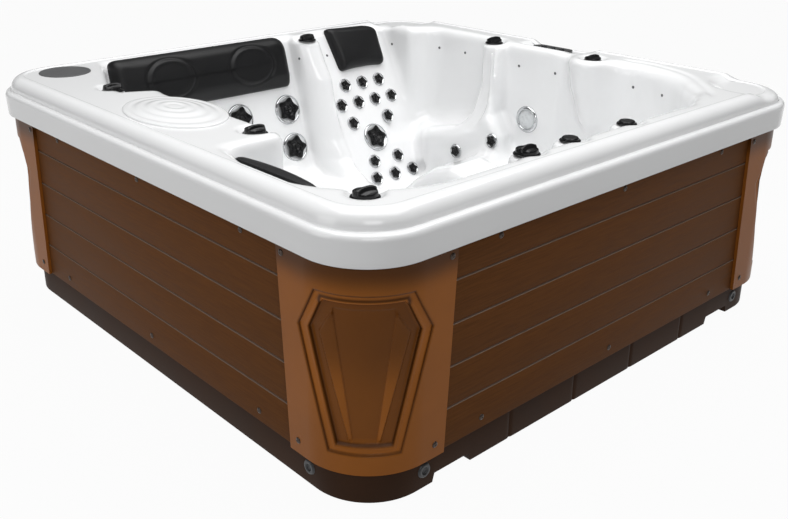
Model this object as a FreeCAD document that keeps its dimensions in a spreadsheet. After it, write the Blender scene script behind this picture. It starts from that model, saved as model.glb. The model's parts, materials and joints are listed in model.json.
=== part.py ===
"""Square hot tub: acrylic shell, boxed cabinet, base pan, jets, knobs, lids, pillows and lights.

Millimetres, +Z up, origin on the floor under the middle of the tub. The front is the -Y side.
"""
import FreeCAD, Part
import math
import os
import Sketcher

V = FreeCAD.Vector
UP = V(0, 0, 1)
doc = FreeCAD.newDocument("hot_tub")

# Driving dimensions; a text is a formula over the ones above it
SIZES = [
    # rim and shell
    ("overall_width", 2100), ("rim_height", 820), ("half_width", "=overall_width / 2"), ("rim_corner", 200),
    ("skirt_bottom", "=rim_height - 133"), ("bead_height", "=rim_height - 48"), ("bead_round", 17),
    ("roll_inset", 22), ("roll_round", 45), ("deck_inset", 67), ("deck_drop", 4), ("shell_wall", 8),
    ("corner_dip", 18), ("dip_radius", 170), ("dip_inset", 115), ("deck_height", "=rim_height - deck_drop"),
    # seats and wells
    ("seat_height", 405), ("bench_seat", "=0.2866 * rim_height"), ("footwell_floor", 95),
    ("armrest_height", "=0.6646 * rim_height"), ("basin_corner", 60), ("floor_round", 45),
    ("floor_splay", 30), ("bench_rim", 120), ("bench_recline", 16), ("bench_left", "=250 - half_width"),
    ("bench_back_left", "=410 - half_width"), ("bench_right", "=half_width - 814"),
    ("bench_front", "=half_width - 720"), ("bench_slant_back", "=half_width - 475"),
    ("bench_slant_front", "=half_width - 595"), ("bench_slant_mouth", "=half_width - 650"),
    ("pier_radius", 47), ("column_head", "=half_width - 260"), ("column_waist_y", "=half_width - 325"),
    ("column_waist_height", "=0.683 * rim_height"), ("column_foot_y", "=half_width - 375"),
    ("column_foot_height", "=0.451 * rim_height"), ("column_toe_y", "=half_width - 510"),
    ("lounge_left", "=half_width - 705"), ("lounge_right", "=half_width - 275"),
    ("lounge_side", "=half_width - 345"), ("lounge_centre", "=half_width - 495"), ("lounge_recline", 30),
    ("lounge_rim", 107), ("lounge_seat", "=0.1646 * rim_height"), ("lounge_seat_length", 120),
    ("lounge_knee_y", "=half_width - 990"), ("lounge_knee_height", "=0.4695 * rim_height"),
    ("lounge_foot_y", "=720 - half_width"), ("lounge_foot_height", "=0.3659 * rim_height"),
    ("lounge_foot_wall", "=650 - half_width"), ("lounge_foot_rise", 40), ("elbow_rim", 165),
    ("elbow_front", "=0.30952 * half_width"), ("elbow_back", "=half_width - 360"),
    ("elbow_ledge_front", "=0.5341 * rim_height"), ("elbow_ledge_back", "=0.4207 * rim_height"),
    ("light_wall_rim", 200), ("light_wall_front", "=-half_width / 6"),
    ("light_wall_back", "=0.10571 * half_width + 14"), ("light_wall_mouth", "=0.10571 * half_width - 39"),
    ("light_wall_bottom", "=0.4146 * rim_height"), ("well_left", "=367 - half_width"),
    ("well_right", "=half_width - 345"), ("well_front", "=270 - half_width"),
    ("well_back", "=half_width - 360"), ("well_corner", 90), ("side_seat_rim", 170),
    ("side_seat_front", "=270 - half_width"), ("side_seat_back", "=720 - half_width"),
    ("front_seat_rim", 215), ("front_seat_left", "=450 - half_width"),
    ("front_seat_right", "=half_width - 670"), ("right_seat_rim", 190),
    ("right_seat_left", "=half_width - 630"), ("right_seat_back", "=-0.32857 * half_width"),
    ("right_seat_corner", 190), ("seat_recline", 10), ("foot_left", "=570 - half_width"),
    ("foot_right", "=half_width - 750"), ("foot_front", "=630 - half_width"),
    ("foot_back", "=half_width - 710"),
    # cabinet
    ("rim_overhang", 26), ("board_thickness", 24), ("board_count", 5), ("board_gap", 4),
    ("board_bottom", 102), ("board_lap", 25),
    ("board_pitch", "=(skirt_bottom + board_lap - board_bottom) / board_count"),
    ("board_half_length", "=half_width - 290"), ("panel_proud", 12), ("panel_block", 46),
    ("panel_edge_top", "=half_width - 335"), ("panel_edge_bottom", "=half_width - 302"),
    ("panel_top", "=skirt_bottom + 18"), ("hex_top", "=panel_top - 99"),
    ("hex_shoulder", "=panel_top - 210"), ("hex_bottom", "=board_bottom + 58"), ("hex_top_half", 123),
    ("hex_shoulder_half", 168), ("hex_bottom_half", 94), ("hex_depth", 12), ("hex_border", 21),
    ("hex_floor_depth", 26), ("pleat_height", 8), ("pleat_top_half", 78), ("pleat_side_half", 111),
    ("pleat_foot_half", 34), ("pleat_drop", 56), ("pleat_shoulder", 5), ("pleat_rise", 24),
    ("base_inset", 12), ("base_wall", 10), ("base_floor", 12), ("base_notch_height", 26),
    ("base_notch_inner", "=half_width - 430"), ("base_notch_outer", "=half_width - 290"),
    ("base_notch_depth", 60), ("flute_pitch", 300), ("port_radius", 24), ("port_cap", 15),
    ("port_proud", 6), ("port_height", 55), ("port_offset", "=half_width - 253"), ("post_size", 40),
    ("post_outer", "=half_width - 470"), ("post_inner", 250), ("rail_height", 60), ("rail_drop", 20),
    ("bearer_length", "=foot_right - foot_left - 280"), ("bearer_spread", 180), ("screw_radius", 7),
    ("screw_head", 4), ("screw_top", "=skirt_bottom - 23"), ("screw_bottom", "=board_bottom + 35"),
    ("screw_top_offset", "=half_width - 504"), ("screw_bottom_offset", "=half_width - 460"),
    ("corner_screw_top", "=half_width - 312"), ("corner_screw_bottom", "=half_width - 267"),
    ("corner_screw_lift", 5),
    # jets
    ("small_jet_radius", 32), ("small_face_radius", 25), ("large_jet_radius", 66),
    ("large_face_radius", 54), ("jet_floor", 3), ("small_lip", 4), ("large_lip", 7),
    ("small_face_height", 9), ("large_face_height", 15), ("jet_lobes", 5), ("turn_clearance", 0.6),
    ("face_play", 3), ("bench_jet_left", "=bench_right - 327"), ("bench_jet_right", "=bench_right - 76"),
    ("bench_low_right", "=bench_right - 75"),
    ("bench_low_height", "=bench_seat + floor_round + large_jet_radius"),
    ("bench_jet_height", "=0.622 * rim_height"), ("side_jet_rear", "=half_width - 729"),
    ("side_jet_rear_height", "=0.3988 * rim_height"), ("side_jet_front", "=0.10571 * half_width"),
    ("side_jet_front_height", "=0.5122 * rim_height"),
    # knobs, deck covers, panel, lights
    ("knob_radius", 33), ("air_knob_radius", 26), ("knob_height", 26), ("air_knob_height", 8),
    ("knob_grip", 14), ("knob_recess", 14), ("knob_recess_radius", 40), ("valve_flange", 4),
    ("valve_pin", 2), ("flange_lap", 6), ("lid_half_x", 125), ("lid_half_y", 190), ("lid_edge", 8),
    ("lid_ring", 5), ("lid_x", "=225 - half_width"), ("lid_y", 92),
    ("filter_well_depth", "=0.4024 * rim_height"), ("filter_well_share", 0.84), ("filter_radius", 76),
    ("filter_length", 250), ("cover_radius", 92), ("cover_height", 6), ("cover_recess", 6),
    ("cover_x", "=224 - half_width"), ("cover_y", "=half_width - 180"), ("pot_radius", 74),
    ("pot_depth", 150), ("fit_gap", 1), ("console_length", 190), ("console_width", 62),
    ("console_height", 10), ("console_inset", 122), ("console_y", -8), ("console_dip", 16),
    ("console_dip_front", -165), ("console_dip_back", 125), ("button_radius", 11), ("button_height", 5),
    ("button_pitch", 46), ("button_travel", 2), ("light_radius", 58), ("light_lens_radius", 43),
    ("light_proud", 10), ("light_y", 44), ("light_height", "=0.6134 * rim_height"), ("led_radius", 6),
    ("led_proud", 3), ("led_height", "=deck_height - 90"),
    # pillows
    ("bench_pillow_length", "=bench_right - bench_back_left - 46"),
    ("bench_pillow_height", "=0.239 * rim_height"), ("bench_pillow_depth", 58),
    ("bench_pillow_centre", "=deck_height - 18 - bench_pillow_height / 2"),
    ("bench_pillow_x", "=(bench_right + bench_back_left) / 2 - 20"), ("pillow_circle_radius", 103),
    ("pillow_circle_left", "=bench_pillow_x - 0.21 * bench_pillow_length"),
    ("pillow_circle_right", "=bench_pillow_x + 0.258 * bench_pillow_length"), ("pillow_circle_drop", 10),
    ("pillow_groove", 6), ("lounge_pillow_width", 296), ("lounge_pillow_height", "=0.2268 * rim_height"),
    ("lounge_pillow_depth", 50), ("lounge_pillow_x", "=half_width - 456"),
    ("lounge_pillow_centre", "=deck_height - 19.5 - 0.433 * lounge_pillow_height"),
    ("side_pillow_length", 340), ("side_pillow_height", 120), ("side_pillow_depth", 42),
    ("side_pillow_y", "=510 - half_width"), ("side_pillow_centre", "=deck_height - 66"),
    # equipment under the seats
    ("pump_radius", 80), ("pump_length", 300), ("volute_radius", 105), ("volute_length", 90),
    ("pump_x", -60), ("pump_y", "=410 - half_width"), ("spout_length", 155), ("pump_foot_inset", 30),
    ("pump_foot_half", 60), ("pump_foot_drop", 40), ("pack_length", 360), ("pack_depth", 130),
    ("pack_height", 260), ("pack_x", -380), ("pack_y", "=170 - half_width"), ("heater_radius", 35),
    ("suction_radius", "=0.07895 * (foot_back - foot_front)"), ("suction_height", 215),
    ("suction_spread", "=0.17105 * (foot_back - foot_front)"), ("suction_proud", 14),
]
sheet = doc.addObject("Spreadsheet::Sheet", "sizes")
for row, (alias, value) in enumerate(SIZES, 1):
    sheet.set("A%d" % row, alias)
    sheet.set("B%d" % row, str(value))
    sheet.setAlias("B%d" % row, alias)
doc.recompute()
size = {alias: float(sheet.get(alias)) for alias, _ in SIZES}

# Levels and half widths that several pieces share
half = size["half_width"]
deck = size["deck_height"]
wall = size["shell_wall"]
cabinet = half - size["rim_overhang"]
cabinet_corner = size["rim_corner"]
board_back = cabinet - size["board_thickness"]
board_half = size["board_half_length"]
knob_floor = deck - size["knob_recess"]
post_top = size["rim_height"] - size["roll_round"]
OVER = 40
RING_SIDES = 16
CORNER_STEPS = 6
nodes = []


def node(thing, label):
    """Give a document object its file name and put it on the list of sub-parts."""
    thing.Label = label
    nodes.append(thing)
    return thing


def feature(label, shape):
    thing = doc.addObject("Part::Feature", label)
    thing.Shape = shape
    return node(thing, label)


# Outline helpers


def ring_solid(rings):
    """Solid with flat sides through closed rings of points, each ring with as many points as the next."""
    count = len(rings[0])
    outlines = [rings[0] + rings[0][:1], rings[-1] + rings[-1][:1]]
    for low, high in zip(rings, rings[1:]):
        for step in range(count):
            following = (step + 1) % count
            outlines.append([low[step], low[following], high[following], high[step], low[step]])
    return Part.makeSolid(Part.makeShell([Part.Face(Part.makePolygon(outline)) for outline in outlines]))


def rounded_ring(x0, x1, y0, y1, radius, z):
    """Points of a rectangle with round corners at height z; radius may be one per corner."""
    radii = radius if isinstance(radius, tuple) else (radius,) * 4
    corners = [(x1, y0, -90), (x1, y1, 0), (x0, y1, 90), (x0, y0, 180)]
    points = []
    for (x, y, start), corner in zip(corners, radii):
        centre = V(x - corner if x == x1 else x + corner, y - corner if y == y1 else y + corner, z)
        for step in range(CORNER_STEPS + 1):
            angle = math.radians(start + 90 * step / CORNER_STEPS)
            points.append(centre + V(corner * math.cos(angle), corner * math.sin(angle), 0))
    return points


def slab(reach, corner, bottom, top):
    """Rounded square plate of half width reach."""
    return ring_solid([rounded_ring(-reach, reach, -reach, reach, corner, z) for z in (bottom, top)])


def box(x0, x1, y0, y1, z0, z1):
    return Part.makeBox(x1 - x0, y1 - y0, z1 - z0, V(x0, y0, z0))


def back_y(rim_width, recline, z):
    """Distance from the middle of the tub to a reclined wall at height z."""
    return half - rim_width - (deck - z) * math.tan(math.radians(recline))


def hollow_top(grow):
    """A cut runs past the deck; the grown outside of a hollow ends inside the deck's thickness."""
    return deck - wall / 2 if grow else deck + OVER


def basin(x0, x1, y0, y1, floor, grow, corner):
    """Hollow with upright walls, round corners and a splayed foot, grown by the wall thickness."""
    radii = corner if isinstance(corner, tuple) else (corner,) * 4
    low = floor - grow
    splay = size["floor_splay"]
    rings = []
    for inset, height in ((splay, low), (0, low + splay), (0, hollow_top(grow))):
        reach = grow - inset
        rings.append(rounded_ring(x0 - reach, x1 + reach, y0 - reach, y1 + reach,
                                  tuple(each + reach for each in radii), height))
    return ring_solid(rings)


def seat_hollow(start, end, front, rim_width, recline, floor, grow):
    """Hollow over a bench on the +Y side: flat seat, reclined back and a rounded corner between them."""
    low = floor - grow
    top = hollow_top(grow)
    shift = grow / math.cos(math.radians(recline))
    foot = back_y(rim_width, recline, low) + shift
    head = back_y(rim_width, recline, top) + shift
    outline = [(front - grow, low), (foot, low), (head, top), (front - grow, top)]
    solid = profile_prism(outline, start - grow, end + grow)
    corner = [edge for edge in solid.Edges if edge.BoundBox.XLength > 1 and edge.BoundBox.YLength < 1e-6
              and abs(edge.BoundBox.YMin - foot) < 1e-6]
    return solid.makeFillet(size["floor_round"] + grow, corner)


def profile_prism(points, x0, x1):
    """Prism along X over a closed outline of (y, z) points."""
    ring = [V(x0, y, z) for y, z in points]
    return Part.Face(Part.makePolygon(ring + ring[:1])).extrude(V(x1 - x0, 0, 0))


def many_sided(profile, spot, sides=RING_SIDES):
    """Solid with flat sides about Z through (radius, height) rings, standing on a spot."""
    angles = [2 * math.pi * step / sides for step in range(sides)]
    rings = []
    for radius, height in profile:
        centre = spot + V(0, 0, height)
        rings.append([centre + V(radius * math.cos(angle), radius * math.sin(angle), 0) for angle in angles])
    return ring_solid(rings)


# Wall frames: local X and Y lie in the wall, local Z points into the tub


def reclined_wall(rim_width, recline):
    """Placement of a seat back on the +Y side, at deck height."""
    return FreeCAD.Placement(V(0, half - rim_width, deck), FreeCAD.Rotation(V(1, 0, 0), 90 - recline))


def facing_left(x):
    """Placement of an upright wall on the +X side that faces -X."""
    return FreeCAD.Placement(V(x, 0, 0), FreeCAD.Rotation(V(0, -1, 0), UP, V(-1, 0, 0), "ZXY"))


def facing_right(x):
    return FreeCAD.Placement(V(x, 0, 0), FreeCAD.Rotation(V(0, 1, 0), UP, V(1, 0, 0), "ZXY"))


def on_back(frame, x, z, recline):
    """Spot at height z on a reclined wall."""
    rise = (z - deck) / math.cos(math.radians(recline))
    return frame * FreeCAD.Placement(V(x, rise, 0), FreeCAD.Rotation())


def on_left_face(frame, y, z):
    return frame * FreeCAD.Placement(V(-y, z, 0), FreeCAD.Rotation())


bench_wall = reclined_wall(size["bench_rim"], size["bench_recline"])
lounge_wall = reclined_wall(size["lounge_rim"], size["lounge_recline"])
side_wall = facing_left(size["lounge_side"])
light_wall = facing_left(half - size["light_wall_rim"])
elbow_wall = facing_left(half - size["elbow_rim"])


# Knobs on the rim: the sides that each is measured from, its insets from them, and its kind
KNOBS = (("left_rear_knob", "left", 243, "rear", 510, "diverter"),
         ("left_front_knob", "left", 303, "front", 821, "diverter"),
         ("rear_knob", "right", 764, "rear", 202, "diverter"),
         ("right_rear_knob", "right", 191, "rear", 0.75333 * half, "diverter"),
         ("right_front_knob", "right", 189, "front", 0.75048 * half, "diverter"),
         ("near_corner_knob", "left", 181, "front", 187, "diverter"),
         ("front_knob", "left", 747, "front", 155, "diverter"),
         ("air_knob_1", "left", 943, "front", 157, "air"),
         ("air_knob_2", "right", 880, "front", 153, "air"))
SIDES = {"left": -1, "right": 1, "front": -1, "rear": 1}
knob_spots = {}
for name, across, inset_x, along, inset_y, kind in KNOBS:
    knob_spots[name] = (SIDES[across] * (half - inset_x), SIDES[along] * (half - inset_y))

# Acrylic shell


def quarter_round(inset, height, radius, steps):
    """Points (inset, height) of a rounded edge that starts upright at the given inset and height."""
    points = []
    for step in range(1, steps + 1):
        angle = math.radians(90 * step / steps)
        points.append((inset + radius * (1 - math.cos(angle)), height + radius * math.sin(angle)))
    return points


def moulded_block(reach, corner, profile):
    """Rounded square block whose upright profile of (inset, height) points runs all round it."""
    rings = []
    for inset, height in profile:
        side = reach - inset
        rings.append(rounded_ring(-side, side, -side, side, corner - inset, height))
    return ring_solid(rings)


def rim_shell():
    """Skirt with its bead, the big roll and the flat deck, hollow underneath."""
    corner = size["rim_corner"]
    bead = size["bead_round"]
    roll = size["roll_round"]
    profile = [(0, size["skirt_bottom"]), (0, size["bead_height"] - bead)]
    profile += quarter_round(0, size["bead_height"] - bead, bead, 3)
    profile += [(size["roll_inset"], size["bead_height"]), (size["roll_inset"], size["rim_height"] - roll)]
    profile += quarter_round(size["roll_inset"], size["rim_height"] - roll, roll, 5)
    block = moulded_block(half, corner, profile)
    roll_half = half - size["roll_inset"]
    roll_corner = corner - size["roll_inset"]
    deck_half = half - size["deck_inset"]
    deck_corner = corner - size["deck_inset"]
    deck_cut = slab(deck_half, deck_corner, deck, size["rim_height"] + OVER)
    low = size["skirt_bottom"] - 1
    under = [slab(half - wall, corner - wall, low, size["bead_height"] - wall - 6),
             slab(roll_half - wall, roll_corner - wall, low, post_top),
             slab(deck_half - wall, deck_corner - wall, low, deck - wall)]
    return block.cut(deck_cut).cut(under)


def lounge_hollows(grow):
    """Reclined back, deep seat, raised knees and foot end; the shoulders are wider than the legs."""
    recline = size["lounge_recline"]
    top = hollow_top(grow)
    low = size["lounge_seat"]
    foot = size["lounge_foot_height"] - grow
    shift = grow / math.cos(math.radians(recline))
    hip = back_y(size["lounge_rim"], recline, low - grow) + shift
    seat = hip - size["lounge_seat_length"]
    head = back_y(size["lounge_rim"], recline, top) + shift
    outline = [(head, top), (hip, low - grow), (seat, low - grow),
               (size["lounge_knee_y"], size["lounge_knee_height"] - grow),
               (size["lounge_foot_y"], foot),
               (size["lounge_foot_wall"] - grow, foot + size["lounge_foot_rise"]),
               (size["lounge_foot_wall"] - grow, top)]
    legs = profile_prism(outline, size["lounge_left"] - grow, size["lounge_side"] + grow)
    shoulder = [(head, top), (hip, low - grow), (seat, low - grow), (seat, top)]
    back = profile_prism(shoulder, size["lounge_left"] - grow, size["lounge_right"] + grow)
    return [legs, back]


def bench_hollow(grow):
    """Hollow over the bench; its left end slants before and behind a round pier that carries a knob."""
    end = size["bench_left"]
    left = end - OVER
    solid = seat_hollow(end, size["bench_right"], size["bench_front"] - OVER, size["bench_rim"],
                        size["bench_recline"], size["bench_seat"], grow)
    back = half - size["bench_rim"] + OVER
    front = size["bench_front"] - 2 * OVER
    slant_back = size["bench_slant_back"]
    slant_front = size["bench_slant_front"]
    behind = [(size["bench_back_left"], back), (end, slant_back), (left, slant_back), (left, back)]
    before = [(size["well_left"], front), (size["well_left"], size["bench_slant_mouth"]), (end, slant_front),
              (left, slant_front), (left, front)]
    solids = []
    for plan in (behind, before):
        ring = [V(x, y, 0) for x, y in plan]
        face = Part.Face(Part.makePolygon(ring + ring[:1]))
        if grow:
            face = face.makeOffset2D(-grow)
        solids.append(face.extrude(V(0, 0, deck + 2 * OVER)))
    x, y = knob_spots["left_rear_knob"]
    solids.append(Part.makeCylinder(size["pier_radius"] - grow, deck + 2 * OVER, V(x, y, 0)))
    return solid.cut(solids)


def aisle_hollow(grow):
    """Open way between bench and lounger, before the column that parts their backs."""
    top = hollow_top(grow)
    low = size["bench_seat"] - grow
    front = size["lounge_foot_wall"] + OVER - grow
    outline = [(size["column_head"] + grow, top),
               (size["column_waist_y"] + grow, size["column_waist_height"]),
               (size["column_foot_y"] + grow, size["column_foot_height"]),
               (size["column_toe_y"] + grow, low), (front, low), (front, top)]
    left = size["bench_right"] - OVER - grow
    right = size["lounge_left"] + size["fit_gap"] + grow
    return profile_prism(outline, left, right)


def elbow_hollow(grow):
    """Scoop for the elbow in the side wall, with a ledge that rises towards the knees."""
    top = hollow_top(grow)
    outline = [(size["elbow_front"] - grow, size["elbow_ledge_front"] - grow),
               (size["elbow_back"] + grow, size["elbow_ledge_back"] - grow),
               (size["elbow_back"] + grow, top), (size["elbow_front"] - grow, top)]
    scoop = profile_prism(outline, size["well_right"] - OVER, half - size["elbow_rim"] + grow)
    corners = [edge for edge in scoop.Edges
               if abs(edge.BoundBox.XMin - (half - size["elbow_rim"] + grow)) < 1e-6
               and edge.BoundBox.ZLength > 100 and edge.BoundBox.YLength < 1e-6]
    return scoop.makeFillet(size["basin_corner"] + grow, corners)


def light_hollow(grow):
    """Pocket with the underwater light on its back wall; one side runs out at a slant."""
    top = hollow_top(grow)
    low = size["light_wall_bottom"] - grow
    back = half - size["light_wall_rim"]
    mouth = size["well_right"]
    ring = [V(mouth - 2 * OVER, size["light_wall_front"], low), V(back, size["light_wall_front"], low),
            V(back, size["light_wall_back"], low), V(mouth, size["light_wall_mouth"], low),
            V(mouth - 2 * OVER, size["light_wall_mouth"], low)]
    plan = Part.Face(Part.makePolygon(ring + ring[:1]))
    if grow:
        plan = plan.makeOffset2D(grow)
    return plan.extrude(V(0, 0, top - low))


def hollows(grow):
    """Every seat, well and recess of the moulding, each open at the deck."""
    seat = size["seat_height"]
    recline = size["seat_recline"]
    corner = size["basin_corner"]
    well = basin(size["well_left"], size["well_right"], size["well_front"], size["well_back"],
                 size["armrest_height"], grow, size["well_corner"])
    side_seat = seat_hollow(size["side_seat_front"], size["side_seat_back"], -size["foot_left"] - 2 * OVER,
                            size["side_seat_rim"], recline, seat, grow)
    side_seat.rotate(V(0, 0, 0), UP, 90)
    front_seat = seat_hollow(-size["front_seat_right"], -size["front_seat_left"],
                             -size["foot_front"] - 2 * OVER, size["front_seat_rim"], recline, seat, grow)
    front_seat.rotate(V(0, 0, 0), UP, 180)
    corners = (size["right_seat_corner"], corner, corner, corner)
    right_seat = basin(size["right_seat_left"], half - size["right_seat_rim"], -half + size["right_seat_rim"],
                       size["right_seat_back"], seat, grow, corners)
    foot = basin(size["foot_left"], size["foot_right"], size["foot_front"], size["foot_back"],
                 size["footwell_floor"], grow, size["well_corner"])
    shapes = [bench_hollow(grow), well, side_seat, front_seat, right_seat, foot, light_hollow(grow),
              elbow_hollow(grow), aisle_hollow(grow)]
    shapes += lounge_hollows(grow)
    top = hollow_top(grow)
    for x, y in knob_spots.values():
        low = knob_floor - grow
        shapes.append(round_hollow(size["knob_recess_radius"] + grow, low, top, x, y))
    low = deck - size["filter_well_depth"] - grow
    inner = size["filter_well_share"]
    shapes.append(rounded_prism(size["lid_x"], size["lid_y"], size["lid_half_x"] * inner + grow,
                                size["lid_half_y"] * inner + grow, low, top))
    pot = size["pot_radius"] + grow
    seat = size["cover_radius"] + size["fit_gap"] + grow
    for radius, depth in ((pot, size["pot_depth"]), (seat, size["cover_recess"])):
        shapes.append(round_hollow(radius, deck - depth - grow, top, size["cover_x"], size["cover_y"]))
    return shapes


def round_hollow(radius, low, top, x, y):
    """Upright round hollow whose flat sides lie outside the circle of the given radius."""
    reach = radius / math.cos(math.pi / RING_SIDES)
    return many_sided([(reach, low), (reach, top)], V(x, y, 0))


def rounded_prism(x, y, reach_x, reach_y, low, top):
    """Oval-ended prism: a rectangle with full round corners."""
    rings = []
    for height in (low, top):
        rings.append(rounded_ring(x - reach_x, x + reach_x, y - reach_y, y + reach_y, reach_x * 0.98, height))
    return ring_solid(rings)


def rim_dips(grow):
    """Lowered corners on the right-hand side and the lowered place of the control panel."""
    spots = []
    low = size["rim_height"] - size["corner_dip"]
    centre = half - size["dip_inset"]
    for side in (-1, 1):
        if grow:
            plate = Part.makeCylinder(size["dip_radius"] + grow, wall, V(centre, side * centre, low - wall))
            inset = size["roll_inset"]
            inside = slab(half - inset - 2, size["rim_corner"] - inset, low - 2 * wall, low)
            spots.append(plate.common(inside))
        else:
            spots.append(Part.makeCylinder(size["dip_radius"], OVER, V(centre, side * centre, low)))
    low = deck - size["console_dip"]
    inner = half - size["console_inset"] - size["console_width"] / 2 - 8
    outer = half - size["roll_inset"] - 6
    if grow:
        spots.append(box(inner - grow, outer, size["console_dip_front"] - grow,
                         size["console_dip_back"] + grow, low - wall, low))
    else:
        spots.append(box(inner, half, size["console_dip_front"], size["console_dip_back"], low, deck + OVER))
    return spots


outer_forms = hollows(wall) + rim_dips(wall)
inner_forms = hollows(0) + rim_dips(0)
shell_shape = rim_shell().fuse(outer_forms).cut(inner_forms)
feature("acrylic_shell", shell_shape.Solids[0])

# Base pan


def base_pan():
    """Tray with a low wall, flutes and lifted stretches beside its corner feet."""
    reach = cabinet - size["base_inset"]
    corner = cabinet_corner - size["base_inset"]
    lip = size["base_wall"]
    pan = slab(reach, corner, 0, size["board_bottom"])
    pan = pan.cut(slab(reach - lip, corner - lip, size["base_floor"], size["board_bottom"] + OVER))
    notches = []
    covers = []
    depth = size["base_notch_depth"]
    for turn in range(4):
        for side in (-1, 1):
            low, high = sorted((side * size["base_notch_inner"], side * size["base_notch_outer"]))
            notch = box(low, high, -reach - OVER, -reach + depth, -OVER, size["base_notch_height"])
            cover = box(low - lip, high + lip, -reach + lip / 2, -reach + depth + lip, 0,
                        size["base_notch_height"] + lip)
            for piece, group in ((notch, notches), (cover, covers)):
                piece.rotate(V(0, 0, 0), UP, 90 * turn)
                group.append(piece)
        for step in (-1.5, -0.5, 0.5, 1.5):
            spot = V(step * size["flute_pitch"], -reach, 0)
            flute = box(-lip / 3, lip / 3, -lip / 3, lip / 3, -OVER, size["board_bottom"] + OVER)
            flute.rotate(V(0, 0, 0), UP, 45)
            flute.translate(spot)
            flute.rotate(V(0, 0, 0), UP, 90 * turn)
            notches.append(flute)
    return pan.fuse(covers).cut(notches)


feature("base_pan", base_pan().Solids[0])


def hose_ports():
    """Round capped drain ports on the base wall, near the corners."""
    reach = cabinet - size["base_inset"]
    spots = [(-size["port_offset"], -1, 0), (size["port_offset"], -1, 0), (size["port_offset"], -1, 3)]
    collars = []
    for offset, side, turn in spots:
        spot = V(offset, side * reach, size["port_height"])
        profile = [(size["port_radius"], 0), (size["port_radius"], size["port_proud"])]
        cap = [(size["port_cap"], 0), (size["port_cap"], 2 * size["port_proud"])]
        collar = many_sided(profile, V(0, 0, 0)).fuse(many_sided(cap, V(0, 0, 0)))
        collar.Placement = FreeCAD.Placement(spot, FreeCAD.Rotation(UP, V(0, side, 0)))
        collar.rotate(V(0, 0, 0), UP, 90 * turn)
        collars.append(collar)
    return Part.makeCompound(collars)


feature("hose_ports", hose_ports())

# Cabinet boards: five to a side, bound to the sheet
BOARD_SIDES = (("front_boards", 0), ("right_boards", 90), ("back_boards", 180), ("left_boards", 270))
for label, turn in BOARD_SIDES:
    boards = []
    for index in range(int(size["board_count"])):
        board = doc.addObject("Part::Box", "%s_%d" % (label, index + 1))
        board.setExpression("Length", "2 * sizes.board_half_length")
        board.setExpression("Width", "sizes.board_thickness")
        board.setExpression("Height", "sizes.board_pitch - sizes.board_gap")
        board.setExpression("Placement.Base.x", "-sizes.board_half_length")
        board.setExpression("Placement.Base.y", "sizes.rim_overhang - sizes.half_width")
        board.setExpression("Placement.Base.z", "sizes.board_bottom + %d * sizes.board_pitch" % index)
        boards.append(board)
    group = doc.addObject("Part::Compound", label)
    group.Links = boards
    group.Placement = FreeCAD.Placement(V(0, 0, 0), FreeCAD.Rotation(UP, turn))
    node(group, label)

# Corner panels


def hexagon(inset, reach):
    """Six-sided outline across the corner, pushed along -X from far outside."""
    half_widths = [("hex_top", "hex_top_half"), ("hex_shoulder", "hex_shoulder_half"),
                   ("hex_bottom", "hex_bottom_half")]
    right = []
    for height, width in half_widths:
        drop = -inset if height == "hex_top" else (inset if height == "hex_bottom" else 0)
        right.append((size[width] - inset, size[height] + drop))
    ring = right + [(-t, z) for t, z in reversed(right)]
    points = [V(reach, t, z) for t, z in ring]
    return Part.Face(Part.makePolygon(points + points[:1]))


def drum(radius, height):
    """Upright round bar about the corner's axis, with as many sides as four rounded corners."""
    return many_sided([(radius, 0), (radius, height)], V(0, 0, 0), 4 * CORNER_STEPS)


def corner_panel():
    """Rounded corner with two wings over the board ends and a sunk six-sided panel with two pleats."""
    radius = cabinet_corner + size["panel_proud"]
    low = size["board_bottom"]
    high = size["panel_top"]
    centre = cabinet - cabinet_corner
    block = drum(radius, high).common(box(0, 2 * radius, 0, 2 * radius, low, high))
    block = block.cut(drum(radius - size["panel_block"], high + OVER))
    wings = []
    for flip in (False, True):
        top = size["panel_edge_top"] - centre
        bottom = size["panel_edge_bottom"] - centre
        ring = [(0, low), (0, high), (top, high), (bottom, low)]
        points = [V(cabinet_corner, t, z) for t, z in ring]
        wing = Part.Face(Part.makePolygon(points + points[:1])).extrude(V(size["panel_proud"], 0, 0))
        if flip:
            wing.rotate(V(0, 0, 0), V(1, 1, 0), 180)
            wing.translate(V(0, 0, low + high))
            wing = wing.mirror(V(0, 0, (low + high) / 2), UP)
        wings.append(wing)
    backing = size["panel_block"]
    inner = board_half + size["fit_gap"] - centre
    for flip in (False, True):
        rib = box(radius - backing, radius, inner, 0, low, high)
        if flip:
            rib = box(inner, 0, radius - backing, radius, low, high)
        wings.append(rib)
    panel = block.fuse(wings)
    panel.rotate(V(0, 0, 0), UP, -45)
    reach = 2 * radius
    sunk = hexagon(0, 0).extrude(V(reach, 0, 0))
    sunk = sunk.cut(drum(radius - size["hex_depth"], high))
    floor_face = hexagon(size["hex_border"], 0)
    deep = floor_face.extrude(V(reach, 0, 0))
    deep = deep.cut(drum(radius - size["hex_floor_depth"], high))
    panel = panel.cut([sunk, deep])
    pleats = []
    for side in (-1, 1):
        ring = [(size["pleat_top_half"], size["hex_top"] - size["pleat_drop"]),
                (size["pleat_side_half"], size["hex_shoulder"] - size["pleat_shoulder"]),
                (size["pleat_foot_half"], size["hex_bottom"] + size["pleat_rise"])]
        points = [V(0, side * t, z) for t, z in ring]
        pleat = Part.Face(Part.makePolygon(points + points[:1])).extrude(V(reach, 0, 0))
        outside = drum(radius - size["hex_floor_depth"] + size["pleat_height"], high)
        inside = drum(radius - size["hex_floor_depth"] - 2, high)
        pleats.append(pleat.common(outside).cut(inside))
    panel = panel.fuse(pleats)
    return panel.removeSplitter()


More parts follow.
